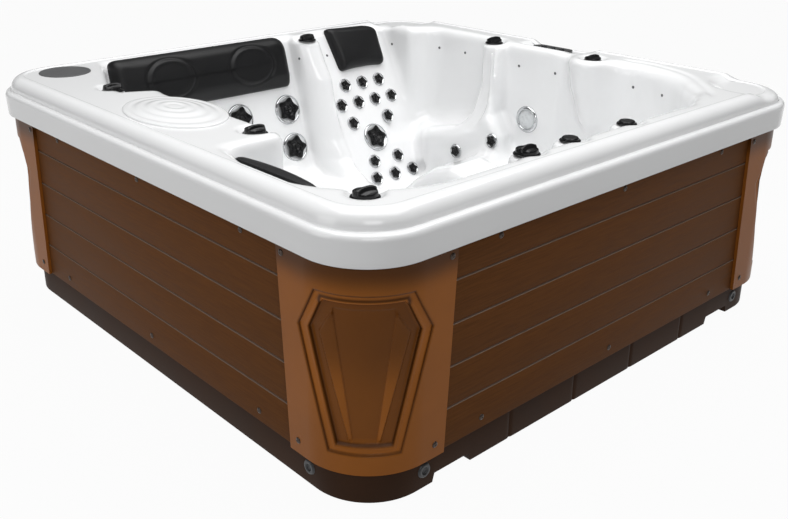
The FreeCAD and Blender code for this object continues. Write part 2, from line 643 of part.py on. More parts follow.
corner_shape = corner_panel().Solids[0]
CORNERS = (("right_corner_panel", -45), ("far_corner_panel", 45), ("left_corner_panel", 135),
           ("near_corner_panel", 225))
for label, turn in CORNERS:
    panel = feature(label, corner_shape)
    spread = cabinet - cabinet_corner
    angle = math.radians(turn)
    corner_x = math.copysign(spread, math.cos(angle))
    corner_y = math.copysign(spread, math.sin(angle))
    panel.Placement = FreeCAD.Placement(V(corner_x, corner_y, 0), FreeCAD.Rotation(UP, turn))

# Frame of posts and rails under the rim
post = size["post_size"]
frame_pieces = []
post_places = (-size["post_outer"], -size["post_inner"], size["post_inner"], size["post_outer"])
for turn in range(4):
    for place in post_places:
        piece = box(place - post / 2, place + post / 2, -board_back, -board_back + post,
                    size["base_floor"], post_top)
        piece.rotate(V(0, 0, 0), UP, 90 * turn)
        frame_pieces.append(piece)
    for start, end in zip(post_places[:-1], post_places[1:]):
        high = post_top - size["rail_drop"]
        piece = box(start + post / 2, end - post / 2, -board_back, -board_back + post,
                    high - size["rail_height"], high)
        piece.rotate(V(0, 0, 0), UP, 90 * turn)
        frame_pieces.append(piece)
bearer_middle = (size["foot_left"] + size["foot_right"]) / 2
bearer_reach = size["bearer_length"] / 2
for side in (-1, 1):
    low, high = sorted((side * size["bearer_spread"], side * (size["bearer_spread"] + 2 * post)))
    frame_pieces.append(box(bearer_middle - bearer_reach, bearer_middle + bearer_reach, low, high,
                            size["base_floor"], size["footwell_floor"] - wall))
feature("cabinet_frame", Part.makeCompound(frame_pieces))

# Screws of the boards and the corner panels
screw = doc.addObject("Part::Prism", "screw_head")
screw.Polygon = 6
screw.setExpression("Circumradius", "sizes.screw_radius")
screw.setExpression("Height", "sizes.screw_head")
doc.recompute()
screw_spots = [(0, size["screw_top"], 0), (0, size["screw_bottom"], 0)]
for side in (-1, 1):
    screw_spots.append((side * size["screw_top_offset"], size["screw_top"], 0))
    screw_spots.append((side * size["screw_bottom_offset"], size["screw_bottom"], 0))
    screw_spots.append((side * size["corner_screw_top"], size["screw_top"], size["panel_proud"]))
    screw_spots.append((side * size["corner_screw_bottom"], size["screw_bottom"] + size["corner_screw_lift"],
                        size["panel_proud"]))
heads = []
for turn in range(4):
    for offset, height, proud in screw_spots:
        head = screw.Shape.copy()
        head.rotate(V(0, 0, 0), V(1, 0, 0), 90)
        head.translate(V(offset, -cabinet - proud, height))
        head.rotate(V(0, 0, 0), UP, 90 * turn)
        heads.append(head)
feature("cabinet_screws", Part.makeCompound(heads))

# Helpers for pieces that repeat: they are bound to the sheet and have few faces


def prism(name, sides, radius, height, base="0"):
    """Regular prism about Z whose sizes follow expressions."""
    thing = doc.addObject("Part::Prism", name)
    thing.Polygon = sides
    thing.setExpression("Circumradius", radius)
    thing.setExpression("Height", height)
    thing.setExpression("Placement.Base.z", base)
    return thing


def turned_disc(name, radius, height, base):
    thing = doc.addObject("Part::Cylinder", name)
    thing.setExpression("Radius", radius)
    thing.setExpression("Height", height)
    thing.setExpression("Placement.Base.z", base)
    return thing


def cut(name, base, tool):
    thing = doc.addObject("Part::Cut", name)
    thing.Base = base
    thing.Tool = tool
    return thing


def fuse(name, pieces):
    thing = doc.addObject("Part::MultiFuse", name)
    thing.Shapes = pieces
    return thing


def sketch_at(body, name, height):
    plane = [each for each in body.Origin.OriginFeatures if each.Role == "XY_Plane"][0]
    sketch = body.newObject("Sketcher::SketchObject", name)
    sketch.AttachmentSupport = [(plane, "")]
    sketch.MapMode = "FlatFace"
    sketch.setExpression("AttachmentOffset.Base.z", height)
    return sketch


def add_circle(sketch, radius):
    """Circle about the axis whose radius follows an expression."""
    index = sketch.addGeometry(Part.Circle(V(0, 0, 0), UP, 10))
    sketch.addConstraint(Sketcher.Constraint("Coincident", index, 3, -1, 1))
    rule = sketch.addConstraint(Sketcher.Constraint("Radius", index, 10))
    sketch.setExpression("Constraints[%d]" % rule, radius)


def add_notch(sketch, tip, mouth):
    """Triangle with its tip on the X axis and its mouth further out, both from expressions."""
    corners = [V(10, 0, 0), V(20, -8, 0), V(20, 8, 0)]
    for start, end in zip(corners, corners[1:] + corners[:1]):
        sketch.addGeometry(Part.LineSegment(start, end))
    for step in range(3):
        sketch.addConstraint(Sketcher.Constraint("Coincident", step, 2, (step + 1) % 3, 1))
    sketch.addConstraint(Sketcher.Constraint("PointOnObject", 0, 1, -1))
    sketch.addConstraint(Sketcher.Constraint("Symmetric", 1, 1, 1, 2, -1))
    near = sketch.addConstraint(Sketcher.Constraint("DistanceX", -1, 1, 0, 1, 10))
    far = sketch.addConstraint(Sketcher.Constraint("DistanceX", -1, 1, 0, 2, 20))
    wide = sketch.addConstraint(Sketcher.Constraint("DistanceY", 1, 1, 1, 2, 16))
    sketch.setExpression("Constraints[%d]" % near, tip)
    sketch.setExpression("Constraints[%d]" % far, mouth)
    sketch.setExpression("Constraints[%d]" % wide, "1.6 * (%s)" % mouth)


def placed(master, name, placement):
    """Copy of a master piece that follows it, at its own place."""
    copy = doc.addObject("Part::Compound", name)
    copy.Links = [master]
    copy.Placement = placement
    return copy


# Jets: a bezel on the wall and a five-lobed face that turns in it


def jet_bezel(name, radius, face, lip):
    plate = prism(name + "_plate", RING_SIDES, radius, "sizes.jet_floor + %s" % lip)
    well = prism(name + "_well", RING_SIDES, "%s + sizes.face_play" % face, "2 * %s + sizes.jet_floor" % lip,
                 "sizes.jet_floor")
    return cut(name, plate, well)


def jet_face(name, face, height):
    """Disc with five notches."""
    low = "sizes.jet_floor + sizes.turn_clearance"
    body = doc.addObject("PartDesign::Body", name)
    disc = sketch_at(body, name + "_disc", low)
    add_circle(disc, face)
    pad = body.newObject("PartDesign::Pad", name + "_pad")
    pad.Profile = disc
    pad.setExpression("Length", height)
    doc.recompute()
    notch = sketch_at(body, name + "_notch", low)
    add_notch(notch, "0.72 * %s" % face, "1.2 * %s" % face)
    gap = body.newObject("PartDesign::Pocket", name + "_gap")
    gap.Profile = notch
    gap.Reversed = True
    gap.setExpression("Length", height)
    pattern = body.newObject("PartDesign::PolarPattern", name + "_lobes")
    pattern.Originals = [gap]
    pattern.Axis = (notch, ["N_Axis"])
    pattern.Angle = 360
    pattern.setExpression("Occurrences", "sizes.jet_lobes")
    body.Tip = pattern
    doc.recompute()
    return body


small_bezel = jet_bezel("small_bezel", "sizes.small_jet_radius", "sizes.small_face_radius", "sizes.small_lip")
large_bezel = jet_bezel("large_bezel", "sizes.large_jet_radius", "sizes.large_face_radius", "sizes.large_lip")
small_face = jet_face("small_face", "sizes.small_face_radius", "sizes.small_face_height")
large_face = jet_face("large_face", "sizes.large_face_radius", "sizes.large_face_height")
doc.recompute()

# Rows of small jets on the lounger's back: share of the rim's height, shift of the middle, pitch and count
LOUNGE_ROWS = [(0.7037, 11, 102, 3), (0.611, 2, 102, 4), (0.5146, -14, 212, 2), (0.311, -4, 145, 2),
               (0.228, 16, 112, 3)]
LOUNGE_LARGE = (0.4244, -21)


def jet_places():
    """Name, size and placement of every jet."""
    places = []
    recline = size["lounge_recline"]
    count = 0
    for share, shift, pitch, number in LOUNGE_ROWS:
        height = share * size["rim_height"]
        for step in range(int(number)):
            x = size["lounge_centre"] + shift + (step - (number - 1) / 2) * pitch
            count += 1
            places.append(("lounge_jet_%d" % count, False, on_back(lounge_wall, x, height, recline)))
    share, shift = LOUNGE_LARGE
    large = on_back(lounge_wall, size["lounge_centre"] + shift, share * size["rim_height"], recline)
    places.append(("lounge_large_jet", True, large))
    recline = size["bench_recline"]
    for name, x, height in (("bench_left_jet", "bench_jet_left", "bench_jet_height"),
                            ("bench_right_jet", "bench_jet_right", "bench_jet_height"),
                            ("bench_low_jet", "bench_low_right", "bench_low_height")):
        places.append((name, True, on_back(bench_wall, size[x], size[height], recline)))
    for name, y, z in (("side_jet_1", "side_jet_rear", "side_jet_rear_height"),
                       ("side_jet_2", "side_jet_front", "side_jet_front_height")):
        places.append((name, False, on_left_face(side_wall, size[y], size[z])))
    return places


bezels = []
for name, large, placement in jet_places():
    bezels.append(placed(large_bezel if large else small_bezel, name + "_bezel", placement))
    node(placed(large_face if large else small_face, name, placement), name)
group = doc.addObject("Part::Compound", "jet_bezels")
group.Links = bezels
node(group, "jet_bezels")

# Knobs: a flange with a pin in each deck recess, and the cap that turns on it


def valve_flange(name, radius):
    disc = prism(name + "_disc", RING_SIDES, "%s + sizes.flange_lap" % radius, "sizes.valve_flange")
    stem = prism(name + "_pin", 8, "sizes.valve_pin", "sizes.valve_flange", "sizes.valve_flange")
    return fuse(name, [disc, stem])


def knob_cap(name, radius, height, grip):
    """Cap with a blind bore under it; the large one has a raised bar with round ends to hold."""
    start = "sizes.valve_flange + sizes.turn_clearance"
    if grip:
        bar = doc.addObject("Part::Box", name + "_bar")
        bar.setExpression("Length", "2 * %s" % radius)
        bar.setExpression("Width", "sizes.knob_grip")
        bar.setExpression("Height", "sizes.knob_height")
        bar.setExpression("Placement.Base.x", "-%s" % radius)
        bar.setExpression("Placement.Base.y", "-0.5 * sizes.knob_grip")
        bar.setExpression("Placement.Base.z", start)
        ends = turned_disc(name + "_ends", "0.9 * %s" % radius, "sizes.knob_height", start)
        rounded = doc.addObject("Part::Common", name + "_round_bar")
        rounded.Base = bar
        rounded.Tool = ends
        solid = fuse(name + "_grip", [prism(name + "_disc", RING_SIDES, radius, height, start), rounded])
    else:
        solid = turned_disc(name + "_disc", radius, height, start)
    bore = prism(name + "_bore", 8, "sizes.valve_pin + 1.5 * sizes.turn_clearance",
                 "sizes.valve_flange + sizes.turn_clearance", start)
    return cut(name, solid, bore)


large_flange = valve_flange("large_flange", "sizes.knob_radius")
small_flange = valve_flange("small_flange", "sizes.air_knob_radius")
large_knob = knob_cap("large_knob", "sizes.knob_radius", "sizes.knob_height * 0.5", True)
small_knob = knob_cap("small_knob", "sizes.air_knob_radius", "sizes.air_knob_height", False)
doc.recompute()
flanges = []
for name, _, _, _, _, kind in KNOBS:
    x, y = knob_spots[name]
    spot = FreeCAD.Placement(V(x, y, knob_floor), FreeCAD.Rotation())
    flange, knob = (small_flange, small_knob) if kind == "air" else (large_flange, large_knob)
    flanges.append(placed(flange, name + "_flange", spot))
    node(placed(knob, name, spot), name)
group = doc.addObject("Part::Compound", "valve_flanges")
group.Links = flanges
node(group, "valve_flanges")

# Filter lid with stepped ovals, filter cartridge, round cover


def filter_lid():
    """Oval lid on the deck, stepped in three ridges like ripples."""
    layers = []
    low = deck
    for share, rise in ((1.0, "lid_edge"), (0.8, "lid_ring"), (0.58, "lid_ring"), (0.36, "lid_ring")):
        layers.append(rounded_prism(size["lid_x"], size["lid_y"], size["lid_half_x"] * share,
                                    size["lid_half_y"] * share, low, low + size[rise]))
        low += size[rise]
    return layers[0].fuse(layers[1:]).removeSplitter()


feature("filter_lid", filter_lid().Solids[0])
cartridge = prism("filter_cartridge", 2 * RING_SIDES, "sizes.filter_radius", "sizes.filter_length",
                  "sizes.deck_height - sizes.filter_well_depth")
cartridge.setExpression("Placement.Base.x", "sizes.lid_x")
cartridge.setExpression("Placement.Base.y", "sizes.lid_y")
node(cartridge, "filter_cartridge")
cover = prism("round_cover", 2 * RING_SIDES, "sizes.cover_radius", "sizes.cover_height",
              "sizes.deck_height - sizes.cover_recess")
cover.setExpression("Placement.Base.x", "sizes.cover_x")
cover.setExpression("Placement.Base.y", "sizes.cover_y")
node(cover, "round_cover")

# Control panel with three sprung buttons
console_floor = deck - size["console_dip"]
console_x = half - size["console_inset"]


def control_panel():
    """Flat console with round ends and a blind hole for each button."""
    reach_x = size["console_width"] / 2
    reach_y = size["console_length"] / 2
    high = console_floor + size["console_height"]
    plate = rounded_prism(console_x, size["console_y"], reach_x, reach_y, console_floor, high)
    holes = []
    for step in (-1, 0, 1):
        spot = V(console_x, size["console_y"] + step * size["button_pitch"],
                 high - size["button_travel"] - size["fit_gap"])
        holes.append(many_sided([(size["button_radius"] + size["turn_clearance"], 0),
                                 (size["button_radius"] + size["turn_clearance"], OVER)], spot))
    return plate.cut(holes)


feature("control_panel", control_panel())
for step, label in ((-1, "light_button"), (0, "jets_button"), (1, "heat_button")):
    button = prism(label, RING_SIDES, "sizes.button_radius", "sizes.button_height",
                   "sizes.deck_height - sizes.console_dip + sizes.console_height - 0.4 * sizes.fit_gap")
    button.setExpression("Placement.Base.x", "sizes.half_width - sizes.console_inset")
    button.setExpression("Placement.Base.y", "sizes.console_y + %d * sizes.button_pitch" % step)
    node(button, label)

# Underwater light and waterline lights
light_spot = on_left_face(light_wall, size["light_y"], size["light_height"])
lens = size["light_lens_radius"]
rim = size["light_radius"]
proud = size["light_proud"]
bevel = 0.35 * proud
ring_shape = many_sided([(rim, 0), (rim, bevel), (rim - bevel, proud)], V(0, 0, 0))
bezel = feature("light_bezel", ring_shape.cut(many_sided([(lens, -proud), (lens, 2 * proud)], V(0, 0, 0))))
bezel.Placement = light_spot
dome = [(lens, 0), (lens, 0.5 * proud), (0.6 * lens, 0.85 * proud)]
glass = feature("light_lens", many_sided(dome, V(0, 0, 0)))
glass.Placement = light_spot
led_height = size["led_height"]
bench_side = facing_left(size["bench_right"])
lounge_shoulder = facing_left(size["lounge_right"])
seat_wall = facing_left(half - size["right_seat_rim"])
bench_led = back_y(size["bench_rim"], size["bench_recline"], led_height) - size["bench_pillow_depth"]
# Upright walls with their waterline lights: places along each wall
elbow_span = size["elbow_back"] - size["elbow_front"]
elbow_leds = [size["elbow_front"] + share * elbow_span for share in (0.353, 0.795)]
seat_leds = [-share * half for share in (0.4229, 0.5714)]
LED_WALLS = ((elbow_wall, elbow_leds), (light_wall, [size["light_wall_back"] - 20, -89]),
             (seat_wall, seat_leds), (bench_side, [bench_led]), (lounge_shoulder, [half - 219]))
led_spots = []
for face, spots in LED_WALLS:
    led_spots += [on_left_face(face, y, led_height) for y in spots]
led_spots.append(on_back(lounge_wall, size["lounge_left"] + 79, led_height - 16, size["lounge_recline"]))
led_master = prism("waterline_light", 8, "sizes.led_radius", "sizes.led_proud")
doc.recompute()
points = []
for spot in led_spots:
    point = led_master.Shape.copy()
    point.Placement = spot
    points.append(point)
feature("waterline_lights", Part.makeCompound(points))

# Pillows: crowned sections lofted along the wall, drawn in at the ends


# Section: flat back on the wall, round top edge, crowned front, thin lower edge; shares of height and depth
PILLOW_SECTION = ((-0.5, 0), (-0.4, 0.62), (-0.3, 0.84), (-0.14, 0.96), (0.18, 1), (0.34, 0.92), (0.44, 0.72),
                  (0.49, 0.38), (0.5, 0))
# Stations along a pillow: share of the length and of the section
PILLOW_STATIONS = ((-0.5, 0.62), (-0.48, 0.82), (-0.44, 0.93), (-0.36, 1), (0.36, 1), (0.44, 0.93),
                   (0.48, 0.82), (0.5, 0.62))


def pillow(length, height, depth):
    rings = []
    for place, share in PILLOW_STATIONS:
        rings.append([V(place * length, share * y * height, share * z * depth) for y, z in PILLOW_SECTION])
    return ring_solid(rings)


bench_cushion = pillow(size["bench_pillow_length"], size["bench_pillow_height"], size["bench_pillow_depth"])
rings = []
for place in ("pillow_circle_left", "pillow_circle_right"):
    radius = size["pillow_circle_radius"]
    spot = V(size[place] - size["bench_pillow_x"], -size["pillow_circle_drop"],
             size["bench_pillow_depth"] - size["pillow_groove"])
    groove = size["pillow_groove"]
    inner = many_sided([(radius - groove, 0), (radius - groove, OVER)], spot, 2 * RING_SIDES)
    rings.append(many_sided([(radius, 0), (radius, OVER)], spot, 2 * RING_SIDES).cut(inner))
double_pillow = feature("double_pillow", bench_cushion.cut(rings).Solids[0])
double_pillow.Placement = on_back(bench_wall, size["bench_pillow_x"], size["bench_pillow_centre"],
                                  size["bench_recline"])
lounge_pillow = feature("lounge_pillow", pillow(size["lounge_pillow_width"], size["lounge_pillow_height"],
                                                size["lounge_pillow_depth"]))
lounge_pillow.Placement = on_back(lounge_wall, size["lounge_pillow_x"], size["lounge_pillow_centre"],
                                  size["lounge_recline"])
side_pillow = feature("side_pillow", pillow(size["side_pillow_length"], size["side_pillow_height"],
                                            size["side_pillow_depth"]))
side_wall_frame = FreeCAD.Placement(V(0, 0, 0), FreeCAD.Rotation(UP, 90)).multiply(
    reclined_wall(size["side_seat_rim"], size["seat_recline"]))
side_pillow.Placement = on_back(side_wall_frame, size["side_pillow_y"], size["side_pillow_centre"],
                                size["seat_recline"])

# Equipment on the pan floor under the front seat, and the suction covers in the footwell
floor = size["base_floor"]
pump_x = size["pump_x"]
pump_y = size["pump_y"]
axis_height = floor + size["volute_radius"]
pump_end = pump_x - size["pump_length"]
lying = FreeCAD.Rotation(V(0, 1, 0), 90)


def lying_drum(radius, length, spot):
    """Drum along X that starts at a spot."""
    drum = many_sided([(radius, 0), (radius, length)], V(0, 0, 0))
    drum.Placement = FreeCAD.Placement(spot, lying)
    return drum


motor = lying_drum(size["pump_radius"], size["pump_length"], V(pump_end, pump_y, axis_height))
volute = lying_drum(size["volute_radius"], size["volute_length"], V(pump_x, pump_y, axis_height))
spout = many_sided([(size["heater_radius"], 0), (size["heater_radius"], size["spout_length"])],
                   V(pump_x + size["volute_length"] / 2, pump_y, axis_height))
foot_plate = box(pump_end + size["pump_foot_inset"], pump_x - size["pump_foot_inset"],
                 pump_y - size["pump_foot_half"], pump_y + size["pump_foot_half"], floor,
                 axis_height - size["pump_foot_drop"])
feature("jet_pump", motor.fuse([volute, spout, foot_plate]).Solids[0])
pack_low = size["pack_y"] - size["pack_depth"] / 2
pack = box(size["pack_x"] - size["pack_length"] / 2, size["pack_x"] + size["pack_length"] / 2, pack_low,
           pack_low + size["pack_depth"], floor, floor + size["pack_height"])
heater_spot = V(size["pack_x"] - size["pack_length"] / 2,
                pack_low + size["pack_depth"] + size["heater_radius"], floor + 2 * size["heater_radius"])
heater = lying_drum(size["heater_radius"], size["pack_length"], heater_spot)
feature("control_pack", Part.makeCompound([pack, heater]))
footwell_wall = facing_right(size["foot_left"])
footwell_middle = (size["foot_front"] + size["foot_back"]) / 2
covers = []
for side in (-1, 1):
    radius = size["suction_radius"]
    high = size["suction_proud"]
    disc = many_sided([(radius, 0), (radius, 0.4 * high), (0.7 * radius, high)], V(0, 0, 0))
    place = side * size["suction_spread"] - footwell_middle
    disc.Placement = on_left_face(footwell_wall, place, size["suction_height"])
    covers.append(disc)
feature("suction_covers", Part.makeCompound(covers))

# Write every sub-part
doc.recompute()
for thing in doc.Objects:
    if "Invalid" in thing.State or "Error" in thing.State:
        raise RuntimeError("failed object: %s %s" % (thing.Label, thing.State))
os.makedirs("parts", exist_ok=True)
for thing in nodes:
    shape = thing.Shape
    if shape.isNull() or not shape.isValid() or not shape.Solids:
        raise RuntimeError("bad shape: %s" % thing.Label)
    solids = shape.Solids
    whole = solids[0] if len(solids) == 1 else Part.makeCompound(solids)
    whole.exportStep("parts/%s.step" % thing.Label)
print(len(nodes), "sub-parts")
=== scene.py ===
"""Looks of the square hot tub: moulded shell, boards, corner panels, jets, knobs, pillows and lights."""

import json
import math
from types import SimpleNamespace as Sizes

import bmesh
import bpy
import numpy as np
from mathutils import Matrix, Vector


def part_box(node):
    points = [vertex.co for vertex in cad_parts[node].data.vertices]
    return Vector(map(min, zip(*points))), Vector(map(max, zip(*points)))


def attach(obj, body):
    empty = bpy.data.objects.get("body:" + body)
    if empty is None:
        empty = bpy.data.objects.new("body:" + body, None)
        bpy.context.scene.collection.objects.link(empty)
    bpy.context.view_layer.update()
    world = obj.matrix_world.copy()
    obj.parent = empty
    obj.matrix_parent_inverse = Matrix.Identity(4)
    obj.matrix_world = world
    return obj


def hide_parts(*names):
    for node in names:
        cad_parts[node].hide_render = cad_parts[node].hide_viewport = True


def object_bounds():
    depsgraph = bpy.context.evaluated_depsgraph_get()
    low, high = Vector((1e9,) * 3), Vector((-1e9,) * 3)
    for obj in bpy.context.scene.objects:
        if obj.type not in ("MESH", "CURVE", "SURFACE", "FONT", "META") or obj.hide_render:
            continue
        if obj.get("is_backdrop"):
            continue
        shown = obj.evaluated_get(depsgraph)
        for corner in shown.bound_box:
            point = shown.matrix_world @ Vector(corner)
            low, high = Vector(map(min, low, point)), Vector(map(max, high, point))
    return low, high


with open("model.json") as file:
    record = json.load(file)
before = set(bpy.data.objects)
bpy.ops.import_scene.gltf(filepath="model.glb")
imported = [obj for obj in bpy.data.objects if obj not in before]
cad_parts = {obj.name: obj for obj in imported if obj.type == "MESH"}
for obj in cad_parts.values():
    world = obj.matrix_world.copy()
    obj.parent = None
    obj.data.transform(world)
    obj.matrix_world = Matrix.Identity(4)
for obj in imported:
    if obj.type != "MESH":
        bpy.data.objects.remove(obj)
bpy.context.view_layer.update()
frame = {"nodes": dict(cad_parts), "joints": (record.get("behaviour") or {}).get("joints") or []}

MM = 0.001
scene = bpy.context.scene
joints = {joint["child"]: joint for joint in frame["joints"]}

# Sizes in millimetres that follow the CAD nodes
HALF = 1050.0
CORNER = 200.0
DECK = 816.0
CABINET = 1024.0
CORE = CABINET - CORNER
PANEL_PROUD = 12.0
PANEL_TOP = 705.0
BASE_INSET = 12.0
BASE_REACH = CABINET - BASE_INSET
BOARD_BOTTOM = 102.0


# Materials: every surface gets a procedural colour, roughness and relief
COAT_ROUGHNESS = 0.06
DRIFT_SPAN = (0.3, 0.7)
DRIFT_DETAIL = 4
ROUGHNESS_DRIFT = 0.15
# Upward facing over which the painted highlight colour of upward faces comes in
TOP_HIGHLIGHT_SPAN = (0.3, 0.6)
RELIEF_DEPTH = 0.001
RELIEF_DETAIL = 3
WHITE = (1, 1, 1, 1)


def feed(tree, socket, value):
    """Sets a socket to a value or links another socket to it."""
    if isinstance(value, bpy.types.NodeSocket):
        tree.links.new(value, socket)
    else:
        socket.default_value = value


def add_node(tree, kind, inputs=None):
    """New node with values or links on its named inputs."""
    node = tree.nodes.new(kind)
    for name, value in (inputs or {}).items():
        feed(tree, node.inputs[name], value)
    return node


def mixed(tree, blend, share, first, second):
    """Colour socket of a mix; each input is a value or another socket."""
    mix = add_node(tree, "ShaderNodeMix")
    mix.data_type = "RGBA"
    mix.blend_type = blend
    for number, value in ((0, share), (6, first), (7, second)):
        feed(tree, mix.inputs[number], value)
    return mix.outputs[2]


def color_ramp(tree, value, colors, span=(0.0, 1.0)):
    """Colour socket that runs from the first to the second colour over the span of a value."""
    node = add_node(tree, "ShaderNodeValToRGB", {"Fac": value})
    for element, color, position in zip(node.color_ramp.elements, colors, span):
        element.position = position
        element.color = color
    return node.outputs["Color"]


def finish(name, color, rough, metallic=0.0, coat=0.0, vary=0.05, scale=6.0, stretch=(1, 1, 1),
           relief=0.0, relief_scale=300.0, relief_stretch=(1, 1, 1), specular=0.5, painted_light=False, edge=None):
    """Principled material whose colour and roughness drift with noise, with a fine relief.

    If asked, a mesh attribute of painted darkening and painted highlights multiplies the colour; edge is a
    painted highlight colour that upward faces take.
    """
    material = bpy.data.materials.new(name)
    material.use_nodes = True
    tree = material.node_tree
    place = add_node(tree, "ShaderNodeTexCoord").outputs["Object"]

    def noise(size, directions, detail):
        mapping = add_node(tree, "ShaderNodeMapping", {"Vector": place, "Scale": directions})
        texture = add_node(tree, "ShaderNodeTexNoise",
                           {"Vector": mapping.outputs["Vector"], "Scale": size, "Detail": detail})
        return texture.outputs["Fac"]

    drift = noise(scale, stretch, DRIFT_DETAIL)
    darker = [max(c * (1 - vary), 0) for c in color] + [1]
    lighter = [min(c * (1 + vary), 1) for c in color] + [1]
    tint = color_ramp(tree, drift, (darker, lighter), DRIFT_SPAN)
    # Painted darkening and painted highlights from a mesh attribute multiply the colour
    if painted_light:
        layer = add_node(tree, "ShaderNodeAttribute")
        layer.attribute_name = "painted_light"
        tint = mixed(tree, "MULTIPLY", 1.0, tint, layer.outputs["Color"])
    # Painted highlight: upward faces take a lighter colour, as if lit from above
    if edge:
        normal = add_node(tree, "ShaderNodeNewGeometry").outputs["Normal"]
        facing = add_node(tree, "ShaderNodeSeparateXYZ", {"Vector": normal})
        painted_top_highlight = add_node(tree, "ShaderNodeMapRange", {
            "Value": facing.outputs["Z"], "From Min": TOP_HIGHLIGHT_SPAN[0], "From Max": TOP_HIGHLIGHT_SPAN[1]})
        tint = mixed(tree, "MIX", painted_top_highlight.outputs["Result"], tint, edge)
    smoothest = rough * (1 - ROUGHNESS_DRIFT)
    roughest = min(rough * (1 + ROUGHNESS_DRIFT), 1)
    spread = add_node(tree, "ShaderNodeMapRange", {"Value": drift, "To Min": smoothest, "To Max": roughest})
    sockets = {"Base Color": tint, "Roughness": spread.outputs["Result"], "Metallic": metallic,
               "Coat Weight": coat, "Coat Roughness": COAT_ROUGHNESS, "Specular IOR Level": specular}
    if relief:
        height = noise(relief_scale, relief_stretch, RELIEF_DETAIL)
        bump = add_node(tree, "ShaderNodeBump", {
            "Height": height, "Strength": relief, "Distance": RELIEF_DEPTH})
        sockets["Normal"] = bump.outputs["Normal"]
    for socket, value in sockets.items():
        feed(tree, tree.nodes["Principled BSDF"].inputs[socket], value)
    return material


ACRYLIC = finish("acrylic", (0.86, 0.865, 0.87), 0.16, coat=0.25, vary=0.012, scale=2.0)
# Boards carry a painted highlight: their upward faces and top bevels take a lighter colour where overhead
# light falls
BOARD = finish("board", (0.128, 0.048, 0.0135), 0.6, vary=0.16, scale=4.0, stretch=(3, 3, 60), relief=0.35,
               relief_scale=60, relief_stretch=(2, 2, 30), specular=0.07, edge=(0.24, 0.17, 0.13, 1))
CORNER_BROWN = finish("corner_brown", (0.32, 0.105, 0.016), 0.34, coat=0.03, vary=0.08, scale=5.0,
                      relief=0.15, relief_scale=500, specular=0.1, painted_light=True)
BASE_DARK = finish("base_dark", (0.045, 0.021, 0.011), 0.5, vary=0.15, scale=5.0, relief=0.2,
                   relief_scale=250, specular=0.08)
PILLOW = finish("pillow_skin", (0.006, 0.006, 0.0065), 0.42, vary=0.12, scale=9.0, relief=0.30,
                relief_scale=700, specular=0.28)
JET_BLACK = finish("jet_black", (0.005, 0.005, 0.0055), 0.2, coat=0.08, vary=0.15, scale=40.0, specular=0.22)
CHROME = finish("bezel_steel", (0.58, 0.59, 0.60), 0.12, metallic=1.0, vary=0.03, scale=30.0)
JET_DISH = finish("jet_dish", (0.86, 0.87, 0.88), 0.34, metallic=0.6, vary=0.03, scale=30.0)
SCREW = finish("screw_steel", (0.055, 0.040, 0.032), 0.3, metallic=0.8, vary=0.1, scale=80.0)
LENS = finish("lens", (0.62, 0.64, 0.65), 0.28, coat=0.4, vary=0.10, scale=60.0, relief=0.6, relief_scale=220)
LED = finish("led", (0.10, 0.10, 0.105), 0.3, coat=0.2, vary=0.12, scale=90.0)
COVER = finish("cover_grey", (0.085, 0.086, 0.088), 0.5, vary=0.08, scale=20.0, relief=0.2, relief_scale=400)
PANEL_BLACK = finish("panel_black", (0.012, 0.012, 0.013), 0.2, coat=0.4, vary=0.1, scale=30.0)
KEY = finish("key_grey", (0.06, 0.06, 0.065), 0.4, vary=0.1, scale=50.0)
TIMBER = finish("timber", (0.45, 0.31, 0.17), 0.7, vary=0.2, scale=3.0, stretch=(12, 12, 1))
PUMP = finish("pump_paint", (0.02, 0.02, 0.022), 0.4, vary=0.12, scale=12.0)
PALE = finish("pale_plastic", (0.70, 0.71, 0.71), 0.35, vary=0.03, scale=15.0)
FILTER = finish("filter_cloth", (0.72, 0.74, 0.76), 0.85, vary=0.05, scale=20.0, relief=0.3, relief_scale=900)


# Mesh helpers; points closer than the weld become one, and a turned form ends in a tiny pole
WELD = 0.05
POLE = 0.01
STEEP = 0.9
# Segments round each form, rings across its top, and angles in degrees that stay crisp
ROUND = Sizes(face=100, bezel=48, knob=72, flange=48, lid=120, cover=80, screw=20, light=64, led=20, port=40,
              pillow=260)
RINGS = Sizes(face=15, knob=22, lid=70, pillow=26)
TOP_SHARES = (0.92, 0.02)
SHARP = Sizes(jet=50, knob=40, board=50, panel=60, base=40, pillow=70)


def pivot(name):
    """Place of a moving piece's joint in millimetres."""
    return [v / MM for v in joints[name]["pos_m"]]


def box_mm(node):
    """Low and high corner of a CAD node in millimetres."""
    return [np.array(corner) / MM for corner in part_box(node)]


def mesh_object(name, verts, faces, material, sharp=None):
    """Smooth-shaded object from points in millimetres; edges sharper than the angle stay crisp."""
    mesh = bpy.data.meshes.new(name)
    mesh.from_pydata((np.asarray(verts, float) * MM).tolist(), [], [tuple(map(int, face)) for face in faces])
    mesh.update()
    mesh.shade_smooth()
    if sharp:
        mesh.set_sharp_from_angle(angle=math.radians(sharp))
    mesh.materials.append(material)
    thing = bpy.data.objects.new(name, mesh)
    scene.collection.objects.link(thing)
    return thing


def outwards(thing, weld=None):
    """Welds points that coincide and turns the faces outwards."""
    work = bmesh.new()
    work.from_mesh(thing.data)
    if weld:
        bmesh.ops.remove_doubles(work, verts=work.verts, dist=weld * MM)
    bmesh.ops.recalc_face_normals(work, faces=work.faces)
    work.to_mesh(thing.data)
    work.free()
    return thing


def show(thing, body, node):
    """The piece rides on a body and stands for a CAD node, which it hides."""
    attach(thing, body)
    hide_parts(node)


def grid_faces(rows, cols, wrap=False):
    """Quads over a grid of points, row after row; wrap joins the last row to the first."""
    row = np.arange(rows if wrap else rows - 1)[:, None]
    col = np.arange(cols - 1)[None, :]
    following = (row + 1) % rows
    return np.stack([row * cols + col, following * cols + col, following * cols + col + 1,
                     row * cols + col + 1], -1).reshape(-1, 4)


